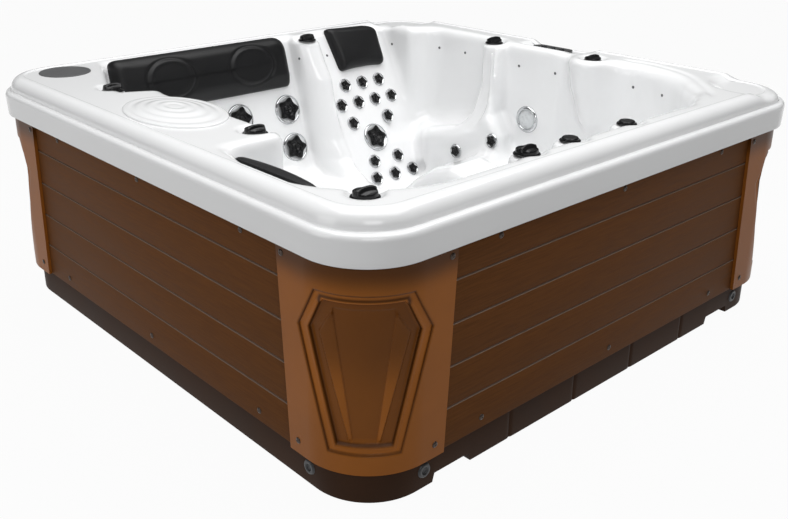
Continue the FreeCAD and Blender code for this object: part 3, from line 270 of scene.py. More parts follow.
def skinned(rings, bottom=True):
    """Points and faces over closed rings of points; the last ring is filled, the first on request."""
    stack = np.stack(rings, 1)
    segments, count = stack.shape[:2]
    faces = grid_faces(segments, count, wrap=True).tolist()
    faces.append([s * count + count - 1 for s in range(segments)])
    if bottom:
        faces.append([s * count for s in reversed(range(segments))])
    return stack.reshape(-1, 3), faces


def trimmed(quads):
    """Numbers of the points that the quads use, and the quads counted in them."""
    used, renumbered = np.unique(quads, return_inverse=True)
    return used, renumbered.reshape(-1, 4)


def round_angles(segments):
    """Angles of a full turn in even steps."""
    return np.linspace(0, 2 * math.pi, segments, endpoint=False)


def ring(angle, radius, height):
    """Ring of points; radius and height are one value or one per angle."""
    return np.stack([radius * np.cos(angle), radius * np.sin(angle), height + 0 * angle], -1)


def ramp(value, start, end):
    """Smooth step from 0 at start to 1 at end."""
    share = np.clip((value - start) / (end - start), 0, 1)
    return share * share * (3 - 2 * share)


def hump(value, height, middle, width):
    """Rounded ridge of that height about a middle."""
    return height * np.exp(-((value - middle) / width) ** 2)


def to_wall(verts, origin, axis):
    """Turns points modelled on +Z so that they stand on a wall with that outward axis."""
    axis = Vector(axis).normalized()
    side = Vector((1, 0, 0)) if abs(axis.x) < STEEP else Vector((0, math.copysign(1, axis.x), 0))
    up = axis.cross(side).normalized()
    side = up.cross(axis).normalized()
    return np.asarray(verts) @ np.array([side, up, axis]) + np.asarray(origin)


def quarter_turn(quarter):
    """Cosine and sine of a number of quarter turns."""
    return round(math.cos(quarter * math.pi / 2)), round(math.sin(quarter * math.pi / 2))


def square_path(core, straight, bend):
    """Core points and outward normals round a rounded square, anticlockwise from above."""
    cores = []
    normals = []
    for quarter in range(4):
        cos, sin = quarter_turn(quarter)
        turn = np.array([[cos, -sin], [sin, cos]], float)
        for y in np.linspace(-core, core, straight, endpoint=False):
            cores.append(turn @ (core, y))
            normals.append(turn @ (1, 0))
        for angle in np.linspace(0, math.pi / 2, bend, endpoint=False):
            cores.append(turn @ (core, core))
            normals.append(turn @ (math.cos(angle), math.sin(angle)))
    return np.array(cores), np.array(normals)


def arc(centre_inset, centre_z, radius, start, end, count):
    """Profile points (inset, height) on an arc; 0 degrees faces outwards and 90 up."""
    angles = np.radians(np.linspace(start, end, count))
    return [(centre_inset - radius * math.cos(a), centre_z + radius * math.sin(a)) for a in angles]


def lathe(profile, segments):
    """Points and faces of a turned form about +Z from (radius, height) points."""
    angle = round_angles(segments)
    radius, height = np.array(profile).T
    verts = np.stack([np.outer(np.cos(angle), radius), np.outer(np.sin(angle), radius),
                      np.tile(height, (segments, 1))], -1).reshape(-1, 3)
    return verts, grid_faces(segments, len(profile), wrap=True)


# Repeated pieces are placed with geometry nodes


def scatter(name, master, places, axes, sizes, material):
    """One object with the master form at every place, turned to its axis."""
    mesh = bpy.data.meshes.new(name + "_places")
    mesh.from_pydata([tuple(np.asarray(p) * MM) for p in places], [], [])
    carrier = bpy.data.objects.new(name + "_carrier", mesh)
    scene.collection.objects.link(carrier)
    tree = bpy.data.node_groups.new(name + "_nodes", "GeometryNodeTree")
    tree.interface.new_socket("Geometry", in_out="INPUT", socket_type="NodeSocketGeometry")
    form = tree.interface.new_socket("Form", in_out="INPUT", socket_type="NodeSocketObject")
    skin = tree.interface.new_socket("Material", in_out="INPUT", socket_type="NodeSocketMaterial")
    tree.interface.new_socket("Geometry", in_out="OUTPUT", socket_type="NodeSocketGeometry")
    named = {}
    layers = (("axis", "FLOAT_VECTOR", "vector", axes), ("size", "FLOAT", "value", sizes))
    for label, kind, field, values in layers:
        layer = mesh.attributes.new(label, kind, "POINT")
        layer.data.foreach_set(field, np.asarray(values, np.float32).ravel())
        node = add_node(tree, "GeometryNodeInputNamedAttribute", {"Name": label})
        node.data_type = kind
        named[label] = node.outputs["Attribute"]
    start = add_node(tree, "NodeGroupInput").outputs
    points = add_node(tree, "GeometryNodeMeshToPoints", {"Mesh": start["Geometry"]})
    info = add_node(tree, "GeometryNodeObjectInfo", {"Object": start["Form"]})
    turn = add_node(tree, "FunctionNodeAlignRotationToVector", {"Vector": named["axis"]})
    turn.axis = "Z"
    spread = add_node(tree, "GeometryNodeInstanceOnPoints", {
        "Points": points.outputs["Points"], "Instance": info.outputs["Geometry"],
        "Rotation": turn.outputs["Rotation"], "Scale": named["size"]})
    real = add_node(tree, "GeometryNodeRealizeInstances", {"Geometry": spread.outputs["Instances"]})
    paint = add_node(tree, "GeometryNodeSetMaterial", {
        "Geometry": real.outputs["Geometry"], "Material": start["Material"]})
    add_node(tree, "NodeGroupOutput", {"Geometry": paint.outputs["Geometry"]})
    modifier = carrier.modifiers.new("scatter", "NODES")
    modifier.node_group = tree
    modifier[form.identifier] = master
    modifier[skin.identifier] = material
    bpy.context.view_layer.update()
    solid = bpy.data.meshes.new_from_object(carrier.evaluated_get(bpy.context.evaluated_depsgraph_get()))
    carrier.modifiers.clear()
    bpy.data.objects.remove(carrier)
    solid.name = name
    result = bpy.data.objects.new(name, solid)
    scene.collection.objects.link(result)
    return result


def turned_pieces(name, profile, segments, places, axes, material, sizes=None):
    """One object with the same turned form at every place."""
    verts, faces = lathe(profile, segments)
    master = outwards(mesh_object(name + "_form", verts, faces, material), WELD)
    pieces = scatter(name, master, places, axes, sizes or [1.0] * len(places), material)
    bpy.data.objects.remove(master)
    return pieces


# Acrylic shell: a swept rim and a moulded inside grown from smooth hollows
KNOBS = {name: pivot(name) for name in joints if name.endswith("knob") or name.startswith("air_knob")}
FRONT_ROW = -880
FRONT_KNOBS = [place for place in KNOBS.values() if place[1] < FRONT_ROW]

# Dips of rim and deck: depths, and the stretches over which they fade
DIP = Sizes(corner=935, corner_depth=18, corner_edge=(135, 190), panel_depth=17, panel_left=(884, 897),
            panel_front=(-190, -160), panel_back=(118, 148), pad_depth=9, pad_edge=(38, 72))
RIM_STEP = 772
RIM_RISE = 46
RIM_STEPS = (60, 28)
RIM_PROFILE = (
    [(16, 692), (8, 688), (4.5, 687), (3.3, 688), (2.8, 691), (2, 712), (1, 736), (0.2, 752)]
    + arc(17, 755, 17, 4, 86, 9)
    + [(18.5, 772), (20.6, 772.6), (21.8, 774.4), (22.4, 777)]
    + arc(67, 775, 44.8, 6, 90, 15)
    + [(70, 819.7), (72, 818.8), (73.4, 817.4), (75, 816.5), (79, 816.1), (86, 815.2)])


def lowering(x, y):
    """How far rim and deck dip at the two right-hand corners, the control panel and the front knobs."""
    away = np.hypot(x - DIP.corner, np.abs(y) - DIP.corner)
    corners = DIP.corner_depth * (1 - ramp(away, *DIP.corner_edge))
    beside_panel = ramp(y, *DIP.panel_front) * (1 - ramp(y, *DIP.panel_back))
    panel = DIP.panel_depth * ramp(x, *DIP.panel_left) * beside_panel
    near = np.min([np.hypot(x - pad_x, y - pad_y) for pad_x, pad_y, _ in FRONT_KNOBS], axis=0)
    return np.maximum(np.maximum(corners, panel), DIP.pad_depth * (1 - ramp(near, *DIP.pad_edge)))


def rim_sweep():
    """The rolled rim and its skirt, swept round the tub."""
    inset, level = np.array(RIM_PROFILE).T
    cores, normals = square_path(HALF - CORNER, *RIM_STEPS)
    plan = cores[:, None, :] + normals[:, None, :] * (CORNER - inset)[None, :, None]
    height = np.tile(level, (len(cores), 1))
    height = height - lowering(plan[..., 0], plan[..., 1]) * np.clip((height - RIM_STEP) / RIM_RISE, 0, 1)
    verts = np.concatenate([plan, height[..., None]], -1).reshape(-1, 3)
    return verts, grid_faces(len(cores), len(inset), wrap=True)


def smooth_max(a, b, k):
    """Larger of two distances, with the crease between them rounded over k."""
    h = np.clip(0.5 + 0.5 * (a - b) / k, 0, 1)
    return b + (a - b) * h + k * h * (1 - h)


def bounded(hollow, *walls):
    """The hollow cut off by walls, each a distance beyond the wall and a rounding."""
    for distance, rounding in walls:
        hollow = smooth_max(hollow, distance, rounding)
    return hollow


def joined(hollow, *others):
    """The hollow opened into others, each with the rounding of the edge where they meet."""
    for other, rounding in others:
        hollow = -smooth_max(-hollow, -other, rounding)
    return hollow


def past(value, wall):
    """Distance past a wall (place, rounding) that ends a hollow on its high side."""
    return value - wall[0], wall[1]


def short_of(value, wall):
    """Distance short of a wall (place, rounding) that ends a hollow on its low side."""
    return wall[0] - value, wall[1]


def round_corner(first, second, radius):
    """Distance to two walls that meet in a rounded corner, negative inside."""
    first = first + radius
    second = second + radius
    outside = np.hypot(np.maximum(first, 0), np.maximum(second, 0))
    return outside + np.minimum(np.maximum(first, second), 0) - radius


def basin(x, y, z, size):
    """Distance to a hollow with upright walls, round corners and a rounded foot."""
    x0, x1, y0, y1 = size.limits
    plan = round_corner(np.abs(x - (x0 + x1) / 2) - (x1 - x0) / 2,
                        np.abs(y - (y0 + y1) / 2) - (y1 - y0) / 2, size.corner)
    return smooth_max(plan, size.floor - z, size.foot)


def leaning(across, z, size):
    """Distance behind a back that leans away from its place at the deck."""
    lean = math.radians(size.lean)
    return (across - (size.back - (DECK - z) * math.tan(lean))) * math.cos(lean)


# Hollows of the moulding: a pair is a wall's place and rounding, or the stretch over which a wall shifts,
# and a pair of lists is a curve
BENCH = Sizes(back=930, lean=16, floor=(235, 110), sag=3.6e-5, middle=-210, right=(236, 20), slant=0.85,
              end_round=36, pier=(47, 20), front=(290, 60))
BENCH_END = ([395, 455, 575, 930], [-683, -800, -800, -640])
LOUNGER = Sizes(back=943, lean=30, slant=0.88, seat_round=50, right=(705, 72), widening=80, widens=(500, 690),
                left=(345, 46), front=(-400, 70))
LOUNGER_SEAT = ([-460, -400, -330, -200, -60, 60, 160, 260, 350, 430, 500, 560, 900],
                [330, 310, 300, 322, 362, 383, 352, 284, 202, 146, 134, 140, 200])
AISLE = Sizes(slant=0.85, floor=(235, 90), middle=275, half=(95, 30), front=(-360, 60))
COLUMN_LEFT = ([215, 331, 465, 642, 727, 816], [730, 740, 764, 785, 802, 828])
COLUMN_RIGHT = ([235, 295, 375, 508, 638, 718, 816], [498, 599, 653, 678, 710, 764, 815])
WELL = Sizes(limits=(-683, 705, -780, 690), floor=545, corner=90, foot=60)
FOOTWELL = Sizes(limits=(-480, 300, -420, 340), floor=95, corner=90, foot=60)
BAY = Sizes(floor=300, left=(-683, 90), middle=-20, half=(360, 60), right=(-400, 40))
NEAR_SEATS = Sizes(side=942, narrowing=34, narrows=(-520, -330), side_slope=0.32, front=912, front_lean=10,
                   corner=325, floor=(405, 90))
SIDE_SEAT = Sizes(back=(-330, 70), right=(-400, 40))
FRONT_SEAT = Sizes(right=(480, 60), back=(-340, 40))
RIGHT_SEAT = Sizes(limits=(420, 875, -912, -345), floor=405, corner=120, foot=90, diagonal=1490,
                   diagonal_round=110)
SCOOP = Sizes(right=885, middle=442, half=(247, 110), floor=(438, 100), slope=0.255, slope_start=325,
              left=(650, 20))
POCKET = Sizes(right=850, wall_x=705, wall_y=72, wall_run=145, wall_rise=53, wall_length=154.4, wall_round=30,
               front=(-330, 60), floor=(340, 70), left=(625, 20))
POCKET_SLANT = ([430, 480, 520, 600], [0, 30, 60, 72])
THROAT = Sizes(right=862, middle=-290, half=(150, 40), floor=(392, 90), left=(600, 20))
# Roundings where the hollows open into each other, and of the piers left standing in them
BLEND = Sizes(lounger=50, bench=45, aisle=60, bay=60, near_seat=50, right_seat=60, footwell=50, elbow=60,
              pocket=50, buttress=60, tongue=80)
# Piers under the two right-hand knobs: height, then middle across, middle along and radius
BUTTRESS_Z = [430, 506, 620, 816]
BUTTRESS = ([-99, -59, -21, 0], [41, -4, -18, 0], [24, 42, 46, 46])
TONGUE = ([460, 550, 610, 690, 816], [-90, 15, 40, 72, 94])
FRONT_PAD = ([640, 770], [-60, 50])
FRONT_PAD_ROUND = 40
# Jets so near to a rounded foot that the wall is faced flat round them
FACED_JETS = ("side_jet_1", "side_jet_2", "lounge_jet_12", "lounge_jet_13", "lounge_jet_14")
FACED = Sizes(radius=37, reach=(60, 5), wall=(0, 5), blend=6)
KNOB_DISH = Sizes(radius=46, foot=12, blend=18)
# Edge of the deck, rounder on the right and with a groove there: its depth, place and width
DECK_EDGE = Sizes(rounding=36, right_more=24, right_x=(600, 700), right_y=(-400, -330), groove=(5, 52, 9))


def bench_hollow(x, y, z):
    """Double bench with its leaning back and slanting left end."""
    pier_x, pier_y, _ = KNOBS["left_rear_knob"]
    return bounded(leaning(y, z, BENCH),
                   short_of(z - BENCH.sag * (x - BENCH.middle) ** 2, BENCH.floor),
                   past(x, BENCH.right),
                   ((np.interp(y, *BENCH_END) - x) * BENCH.slant, BENCH.end_round),
                   short_of(np.hypot(x - pier_x, y - pier_y), BENCH.pier),
                   short_of(y, BENCH.front))


def lounger_hollow(x, y, z):
    """Reclined lounger with its curved seat."""
    return bounded(leaning(y, z, LOUNGER),
                   ((np.interp(y, *LOUNGER_SEAT) - z) * LOUNGER.slant, LOUNGER.seat_round),
                   past(x - LOUNGER.widening * ramp(y, *LOUNGER.widens), LOUNGER.right),
                   short_of(x, LOUNGER.left),
                   short_of(y, LOUNGER.front))


def aisle_hollow(x, y, z):
    """Way between bench and lounger, before the column that parts their backs."""
    left = BENCH.right[0]
    right = LOUNGER.left[0]
    across = np.clip((x - left) / (right - left), 0, 1)
    column = np.interp(z, *COLUMN_LEFT) * (1 - across) + np.interp(z, *COLUMN_RIGHT) * across
    return bounded((y - column) * AISLE.slant,
                   short_of(z, AISLE.floor),
                   past(np.abs(x - AISLE.middle), AISLE.half),
                   short_of(y, AISLE.front))


def near_hollows(x, y, z):
    """Side seat and front seat, which share one wide rounded corner."""
    drop = DECK - z
    narrowing = NEAR_SEATS.narrowing * ramp(y, *NEAR_SEATS.narrows)
    side = -x - (NEAR_SEATS.side - narrowing - drop * NEAR_SEATS.side_slope)
    front = -y - (NEAR_SEATS.front - drop * math.tan(math.radians(NEAR_SEATS.front_lean)))
    seats = bounded(round_corner(side, front, NEAR_SEATS.corner), short_of(z, NEAR_SEATS.floor))
    return (bounded(seats, past(y, SIDE_SEAT.back), past(x, SIDE_SEAT.right)),
            bounded(seats, past(x, FRONT_SEAT.right), past(y, FRONT_SEAT.back)))


def elbow_hollow(x, y, z):
    """Elbow scoop, light pocket and throat, with the piers of the two right-hand knobs between them."""
    scoop = bounded(x - SCOOP.right,
                    past(np.abs(y - SCOOP.middle), SCOOP.half),
                    short_of(z + SCOOP.slope * (y - SCOOP.slope_start), SCOOP.floor),
                    short_of(x, SCOOP.left))
    wall = (y - POCKET.wall_y - np.interp(z, *POCKET_SLANT)) * POCKET.wall_run
    wall = (wall - (x - POCKET.wall_x) * POCKET.wall_rise) / POCKET.wall_length
    pocket = bounded(x - POCKET.right,
                     (wall, POCKET.wall_round),
                     short_of(y, POCKET.front),
                     short_of(z, POCKET.floor),
                     short_of(x, POCKET.left))
    throat = bounded(x - THROAT.right,
                     past(np.abs(y - THROAT.middle), THROAT.half),
                     short_of(z, THROAT.floor),
                     short_of(x, THROAT.left))
    pier_x, pier_y, _ = KNOBS["right_rear_knob"]
    shift_x, shift_y, radius = [np.interp(z, BUTTRESS_Z, values) for values in BUTTRESS]
    buttress = radius - np.hypot(x - pier_x - shift_x, y - pier_y - shift_y)
    pier_x, pier_y, _ = KNOBS["right_front_knob"]
    tongue = np.interp(z, *TONGUE) - np.hypot(x - pier_x, y - pier_y)
    side = joined(scoop, (pocket, BLEND.pocket), (throat, BLEND.pocket))
    return bounded(side, (buttress, BLEND.buttress), (tongue, BLEND.tongue))


def jet_facing(name, x, y, z):
    """Short round hollow before a jet, flat on the wall."""
    away = [value - middle for value, middle in zip((x, y, z), pivot(name))]
    ahead = sum(value * share for value, share in zip(away, joints[name]["axis"]))
    across = np.sqrt(np.maximum(sum(value ** 2 for value in away) - ahead ** 2, 0))
    return bounded(across - FACED.radius, short_of(ahead, FACED.wall), past(ahead, FACED.reach))


def hollow_field(x, y, z):
    """Negative inside the seats, wells and recesses of the moulding."""
    bay = bounded(BAY.floor - z,
                  short_of(x, BAY.left),
                  past(np.abs(y - BAY.middle), BAY.half),
                  past(x, BAY.right))
    side_seat, front_seat = near_hollows(x, y, z)
    right_seat = bounded(basin(x, y, z, RIGHT_SEAT),
                         ((x - y - RIGHT_SEAT.diagonal) / math.sqrt(2), RIGHT_SEAT.diagonal_round))
    water = joined(basin(x, y, z, WELL),
                   (lounger_hollow(x, y, z), BLEND.lounger),
                   (bench_hollow(x, y, z), BLEND.bench),
                   (aisle_hollow(x, y, z), BLEND.aisle),
                   (bay, BLEND.bay),
                   (side_seat, BLEND.near_seat),
                   (front_seat, BLEND.near_seat),
                   (right_seat, BLEND.right_seat),
                   (basin(x, y, z, FOOTWELL), BLEND.footwell),
                   (elbow_hollow(x, y, z), BLEND.elbow))
    pad_radius = np.interp(z, *FRONT_PAD)
    pads = [(pad_radius - np.hypot(x - pad_x, y - pad_y), FRONT_PAD_ROUND) for pad_x, pad_y, _ in FRONT_KNOBS]
    water = bounded(water, *pads)
    return joined(water, *[(jet_facing(name, x, y, z), FACED.blend) for name in FACED_JETS])


def knob_dishes(x, y, z):
    """Negative inside the round recesses of the knobs."""
    dishes = [smooth_max(np.hypot(x - knob_x, y - knob_y) - KNOB_DISH.radius, floor - z, KNOB_DISH.foot)
              for knob_x, knob_y, floor in KNOBS.values()]
    return np.min(dishes, axis=0)


def shell_field(x, y, z):
    """Negative inside the moulding's thickness, counted as solid all the way down."""
    water = hollow_field(x, y, z)
    right = ramp(x, *DECK_EDGE.right_x) * (1 - ramp(y, *DECK_EDGE.right_y))
    deck = DECK - lowering(x, y) - right * hump(water, *DECK_EDGE.groove)
    field = smooth_max(z - deck, -water, DECK_EDGE.rounding + DECK_EDGE.right_more * right)
    return smooth_max(field, -knob_dishes(x, y, z), KNOB_DISH.blend)


def surface_net(field, low, high, step):
    """Quad surface of the field's zero level: one point per crossed cell."""
    axes = [np.arange(a, b + step, step) for a, b in zip(low, high)]
    values = np.empty([len(axis) for axis in axes], np.float32)
    flat_x, flat_y = np.meshgrid(axes[0], axes[1], indexing="ij")
    for level, z in enumerate(axes[2]):
        values[:, :, level] = field(flat_x, flat_y, np.full_like(flat_x, z))
    cells = [n - 1 for n in values.shape]
    total = np.zeros(cells + [3], np.float32)
    count = np.zeros(cells, np.float32)
    crossings = []
    for axis in range(3):
        first = np.moveaxis(values, axis, 0)[:-1]
        second = np.moveaxis(values, axis, 0)[1:]
        crossed = (first < 0) != (second < 0)
        share = np.where(crossed, first / np.where(crossed, first - second, 1), 0)
        others = [n for n in range(3) if n != axis]
        size_a, size_b = crossed.shape[1] - 1, crossed.shape[2] - 1
        for step_a in (0, 1):
            for step_b in (0, 1):
                window = (slice(None), slice(step_a, size_a + step_a), slice(step_b, size_b + step_b))
                hit = np.moveaxis(crossed[window], 0, axis)
                count += hit
                total[..., axis] += np.moveaxis(share[window], 0, axis)
                total[..., others[0]] += hit * step_a
                total[..., others[1]] += hit * step_b
        crossings.append((crossed, first < 0))
    active = count > 0
    index = np.full(cells, -1)
    index[active] = np.arange(active.sum())
    points = np.argwhere(active) + total[active] / count[active][:, None]
    points = points * step + np.array([axis[0] for axis in axes])
    quads = []
    for axis, (crossed, inside) in enumerate(crossings):
        turned = np.moveaxis(index, axis, 0)
        i, j, k = (np.argwhere(crossed[:, 1:-1, 1:-1]) + (0, 1, 1)).T
        corners = ((j - 1, k - 1), (j, k - 1), (j, k), (j - 1, k))
        loop = np.stack([turned[i, row, col] for row, col in corners], -1)
        flip = inside[i, j, k] == (axis == 1)
        loop[flip] = loop[flip][:, ::-1]
        quads.append(loop)
    return points, np.concatenate(quads)


LEAST_SLOPE = 0.2
LONGEST_MOVE = 6


def gradient(field, points):
    """Slope of the field at points, over steps of a millimetre."""
    changes = [field(*(points + offset).T) - field(*(points - offset).T) for offset in np.eye(3)]
    return np.stack(changes, -1) / 2


def settle(field, points, rounds):
    """Moves points onto the field's zero level."""
    for _ in range(rounds):
        value = field(*points.T)
        slope = gradient(field, points)
        move = (value / np.maximum((slope ** 2).sum(-1), LEAST_SLOPE))[:, None] * slope
        points = points - np.clip(move, -LONGEST_MOVE, LONGEST_MOVE)
    return points


NET_LOW = (-1005, -1005, 70)
NET_HIGH = (1005, 1005, 838)
NET_STEP = 12.0
NET_ROUNDS = 3
RIM_WIDTH = 60


def moulded_inside():
    """Surface of seats, wells and deck, as far as the swept rim."""
    points, quads = surface_net(shell_field, NET_LOW, NET_HIGH, NET_STEP)
    points = settle(shell_field, points, NET_ROUNDS)
    edge = round_corner(np.abs(points[:, 0]) - HALF, np.abs(points[:, 1]) - HALF, CORNER) + RIM_WIDTH
    used, quads = trimmed(quads[(edge[quads] < 0).all(-1)])
    return points[used], quads


rim_verts, rim_faces = rim_sweep()
inside_verts, inside_faces = moulded_inside()
shell = mesh_object("moulded_shell", np.concatenate([rim_verts, inside_verts]),
                    np.concatenate([rim_faces, inside_faces + len(rim_verts)]), ACRYLIC)
show(shell, "tub", "acrylic_shell")


# Jets: five-lobed faces, bright bezels and the dishes inside them
LARGE_OVER = 0.08
JET_LOW = 3.6
LARGE_JET = Sizes(label="large", face=54, rise=14.6, bezel=66, opening=56, lip=10)
SMALL_JET = Sizes(label="small", face=25.4, rise=8.8, bezel=32, opening=27, lip=7)
LOBES = 5
# Shares of the face's radius and height; a ridge is its height, place and width
ROSETTE_SIDE = [(0.5, 0.0), (0.52, 0.34), (0.985, 0.40), (1.0, 0.46), (1.0, 0.58), (0.965, 0.72)]
ROSETTE = Sizes(lobe=(0.855, 0.125, 0.02), rounds=(0.2, 0.8), eye_radius=0.9, crown=0.82, fall=0.10,
                least=0.25, fins=(0.13, 0.66, 0.16), hub=(0.30, 0.30, 0.09), eye=(0.30, 0, 0.17),
                valley=(0.24, 0.47, 0.09))


def bezel_form(jet):
    """Profile of a jet's bright ring."""
    opening, radius, lip = jet.opening, jet.bezel, jet.lip
    return [(opening, lip * 0.72), (opening + 1.5, lip * 0.9), (opening + 3.5, lip),
            (radius - 3.5, lip * 0.75), (radius - 1, lip * 0.45), (radius, 1.2), (radius, 0)]


def dish_form(jet):
    """Profile of the shallow dish inside a jet's ring."""
    opening, lip = jet.opening, jet.lip
    return [(POLE, 1.5), (opening * 0.55, 1.6), (opening * 0.7, 2.2), (opening * 0.88, lip * 0.52),
            (opening + 1, lip * 0.74)]


def rosette(radius, rise):
    """Five-lobed jet face with a ring of fins round a hollow middle."""
    angle = round_angles(ROUND.face)
    base, wave, crisp = ROSETTE.lobe
    lobe = base + wave * np.cos(LOBES * angle) + crisp * np.cos(2 * LOBES * angle)
    rings = [ring(angle, radius * lobe * share, JET_LOW + rise * level) for share, level in ROSETTE_SIDE]
    for share in np.linspace(*TOP_SHARES, RINGS.face):
        lobed = ramp(share, *ROSETTE.rounds)
        shape = share * (lobe * lobed + (1 - lobed) * ROSETTE.eye_radius)
        level = ROSETTE.crown + np.cos(LOBES * angle) * hump(share, *ROSETTE.fins) + hump(share, *ROSETTE.hub)
        level = level - hump(share, *ROSETTE.eye) - hump(share, *ROSETTE.valley) - ROSETTE.fall * share
        rings.append(ring(angle, radius * shape, JET_LOW + rise * np.clip(level, ROSETTE.least, 1.0)))
    return skinned(rings)


jets = [name for name in joints if "_jet" in name]
large = [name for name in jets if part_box(name)[1].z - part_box(name)[0].z > LARGE_OVER]
small = [name for name in jets if name not in large]
for name in jets:
    jet = LARGE_JET if name in large else SMALL_JET
    verts, faces = rosette(jet.face, jet.rise)
    placed = to_wall(verts, pivot(name), joints[name]["axis"])
    face = mesh_object(name + "_rosette", placed, faces, JET_BLACK, SHARP.jet)
    show(face, name, name)
for jet, group in ((LARGE_JET, large), (SMALL_JET, small)):
    places = [pivot(name) for name in group]
    axes = [joints[name]["axis"] for name in group]
    for label, form, material in (("_bezels", bezel_form, CHROME), ("_dishes", dish_form, JET_DISH)):
        pieces = turned_pieces(jet.label + label, form(jet), ROUND.bezel, places, axes, material)
        show(pieces, "tub", "jet_bezels")


# Knobs; shares of a knob's radius and height
DIVERTER_OVER = 30
DIVERTER_HEIGHT = 23
KNOB_SIDE = ((1.0, 0.0), (1.0, 0.18), (0.985, 0.36), (0.955, 0.47))
KNOB = Sizes(scallops=10, scallop_depth=0.02, crown=0.52, fall=0.10, bar_half=0.20, bar_flare=0.16,
             bar_edge=0.035, bar_height=0.46, bar_fall=0.16, trough=(0.12, 0.62, 0.2), cap_rise=0.34,
             cap_edge=(0.02, 0.16), least=0.2)
FLANGE = [(POLE, 3.6), (34, 3.6), (37, 3.2), (38.6, 1.6), (38.6, 0)]
AIR_FLANGE = 0.82


def knob_form(radius, height, low, handle):
    """Round cap with a flared foot and, on a diverter, a waisted bar across the top."""
    angle = round_angles(ROUND.knob)
    scallop = 1 - KNOB.scallop_depth * (1 + np.cos(KNOB.scallops * angle)) / 2
    rings = [ring(angle, radius * share * scallop, low + height * level) for share, level in KNOB_SIDE]
    for share in np.linspace(*TOP_SHARES, RINGS.knob):
        across = np.abs(share * np.cos(angle))
        aside = np.abs(share * np.sin(angle))
        level = KNOB.crown - KNOB.fall * share ** 2
        if handle:
            half = KNOB.bar_half + KNOB.bar_flare * across ** 2
            bar = 1 / (1 + np.exp((aside - half) / KNOB.bar_edge))
            level = level + bar * (KNOB.bar_height - KNOB.bar_fall * across ** 3) - hump(aside, *KNOB.trough)
        else:
            level = level + KNOB.cap_rise * ramp(1 - share, *KNOB.cap_edge)
        rings.append(ring(angle, radius * share, low + height * np.clip(level, KNOB.least, 1.0)))
    return skinned(rings)


flange_sizes = []
for name, place in KNOBS.items():
    low, high = box_mm(name)
    radius = (high[0] - low[0]) / 2
    diverter = radius > DIVERTER_OVER
    verts, faces = knob_form(radius, DIVERTER_HEIGHT if diverter else high[2] - low[2], low[2], diverter)
    cap = mesh_object(name + "_cap", verts + np.array([place[0], place[1], 0]), faces, JET_BLACK, SHARP.knob)
    show(cap, name, name)
    flange_sizes.append(1.0 if diverter else AIR_FLANGE)
flanges = turned_pieces("knob_flanges", FLANGE, ROUND.flange, list(KNOBS.values()), [(0, 0, 1)] * len(KNOBS),
                        JET_BLACK, flange_sizes)
show(flanges, "tub", "valve_flanges")


# Deck covers: the rippled filter lid and the dark round cover; shares of the lid's reach and height
LID_EDGE = ((1.0, 0.0), (1.0, 0.16), (0.985, 0.26))
LID = Sizes(growth=(1.12, 1.14), top=(0.96, 0.02), foot=0.30, dome=0.62, dome_edge=(0.0, 0.75),
            ripple=0.045, ripples=4.3, ripple_in=(0.05, 0.2), ripple_out=(0.86, 0.98))
COVER_PROUD = 3.4


def filter_lid():
    """Oval lid with a flat dome and rings of ripples."""
    low, high = box_mm("filter_lid")
    half_x, half_y = np.array(LID.growth) * (high - low)[:2] / 2
    height = high[2] - low[2]
    angle = round_angles(ROUND.lid)
    shares = np.linspace(*LID.top, RINGS.lid)
    fade = ramp(shares, *LID.ripple_in) * (1 - ramp(shares, *LID.ripple_out))
    ripple = LID.ripple * np.cos(2 * math.pi * shares * LID.ripples) * fade
    levels = np.minimum(LID.foot + LID.dome * ramp(1 - shares, *LID.dome_edge) + ripple, 1.0)
    rings = [ring(angle, share, height * level) for share, level in (*LID_EDGE, *zip(shares, levels))]
    verts, faces = skinned(rings, bottom=False)
    return verts * (half_x, half_y, 1) + ((low[0] + high[0]) / 2, (low[1] + high[1]) / 2, low[2]), faces


verts, faces = filter_lid()
lid = mesh_object("rippled_lid", verts, faces, ACRYLIC)
show(lid, "filter_lid", "filter_lid")
low, high = box_mm("round_cover")
radius = (high[0] - low[0]) / 2
verts, faces = lathe([(POLE, 3.4), (radius - 16, 3.4), (radius - 12, 4.2), (radius - 9, 5.6), (radius - 4, 6),
                      (radius - 1, 5.4), (radius, 4), (radius, 0)], ROUND.cover)
middle = np.array([(low[0] + high[0]) / 2, (low[1] + high[1]) / 2, low[2] + COVER_PROUD])
cover = outwards(mesh_object("dark_cover", verts + middle, faces, COVER), WELD)
show(cover, "round_cover", "round_cover")


# Cabinet boards
BOARD_LENGTH = 1520
BOARD_THICK = 24
BOARD_HEIGHT = 118
BOARD_PITCH = 122
BOARD_COUNT = 5
BOARD_EASE = 2.6


def board_form():
    """One board with eased edges, lying on the front face, its lower edge at height 0."""
    work = bmesh.new()
    bmesh.ops.create_cube(work, size=1.0)
    for vert in work.verts:
        x, y, z = vert.co
        vert.co = Vector((x * BOARD_LENGTH, (y + 0.5) * BOARD_THICK - CABINET, (z + 0.5) * BOARD_HEIGHT)) * MM
    bmesh.ops.bevel(work, geom=list(work.edges), offset=BOARD_EASE * MM, segments=2, profile=0.5,
                    affect="EDGES")
    mesh = bpy.data.meshes.new("board_form")
    work.to_mesh(mesh)
    work.free()
    mesh.shade_smooth()
    mesh.set_sharp_from_angle(angle=math.radians(SHARP.board))
    thing = bpy.data.objects.new("board_form", mesh)
    scene.collection.objects.link(thing)
    return thing


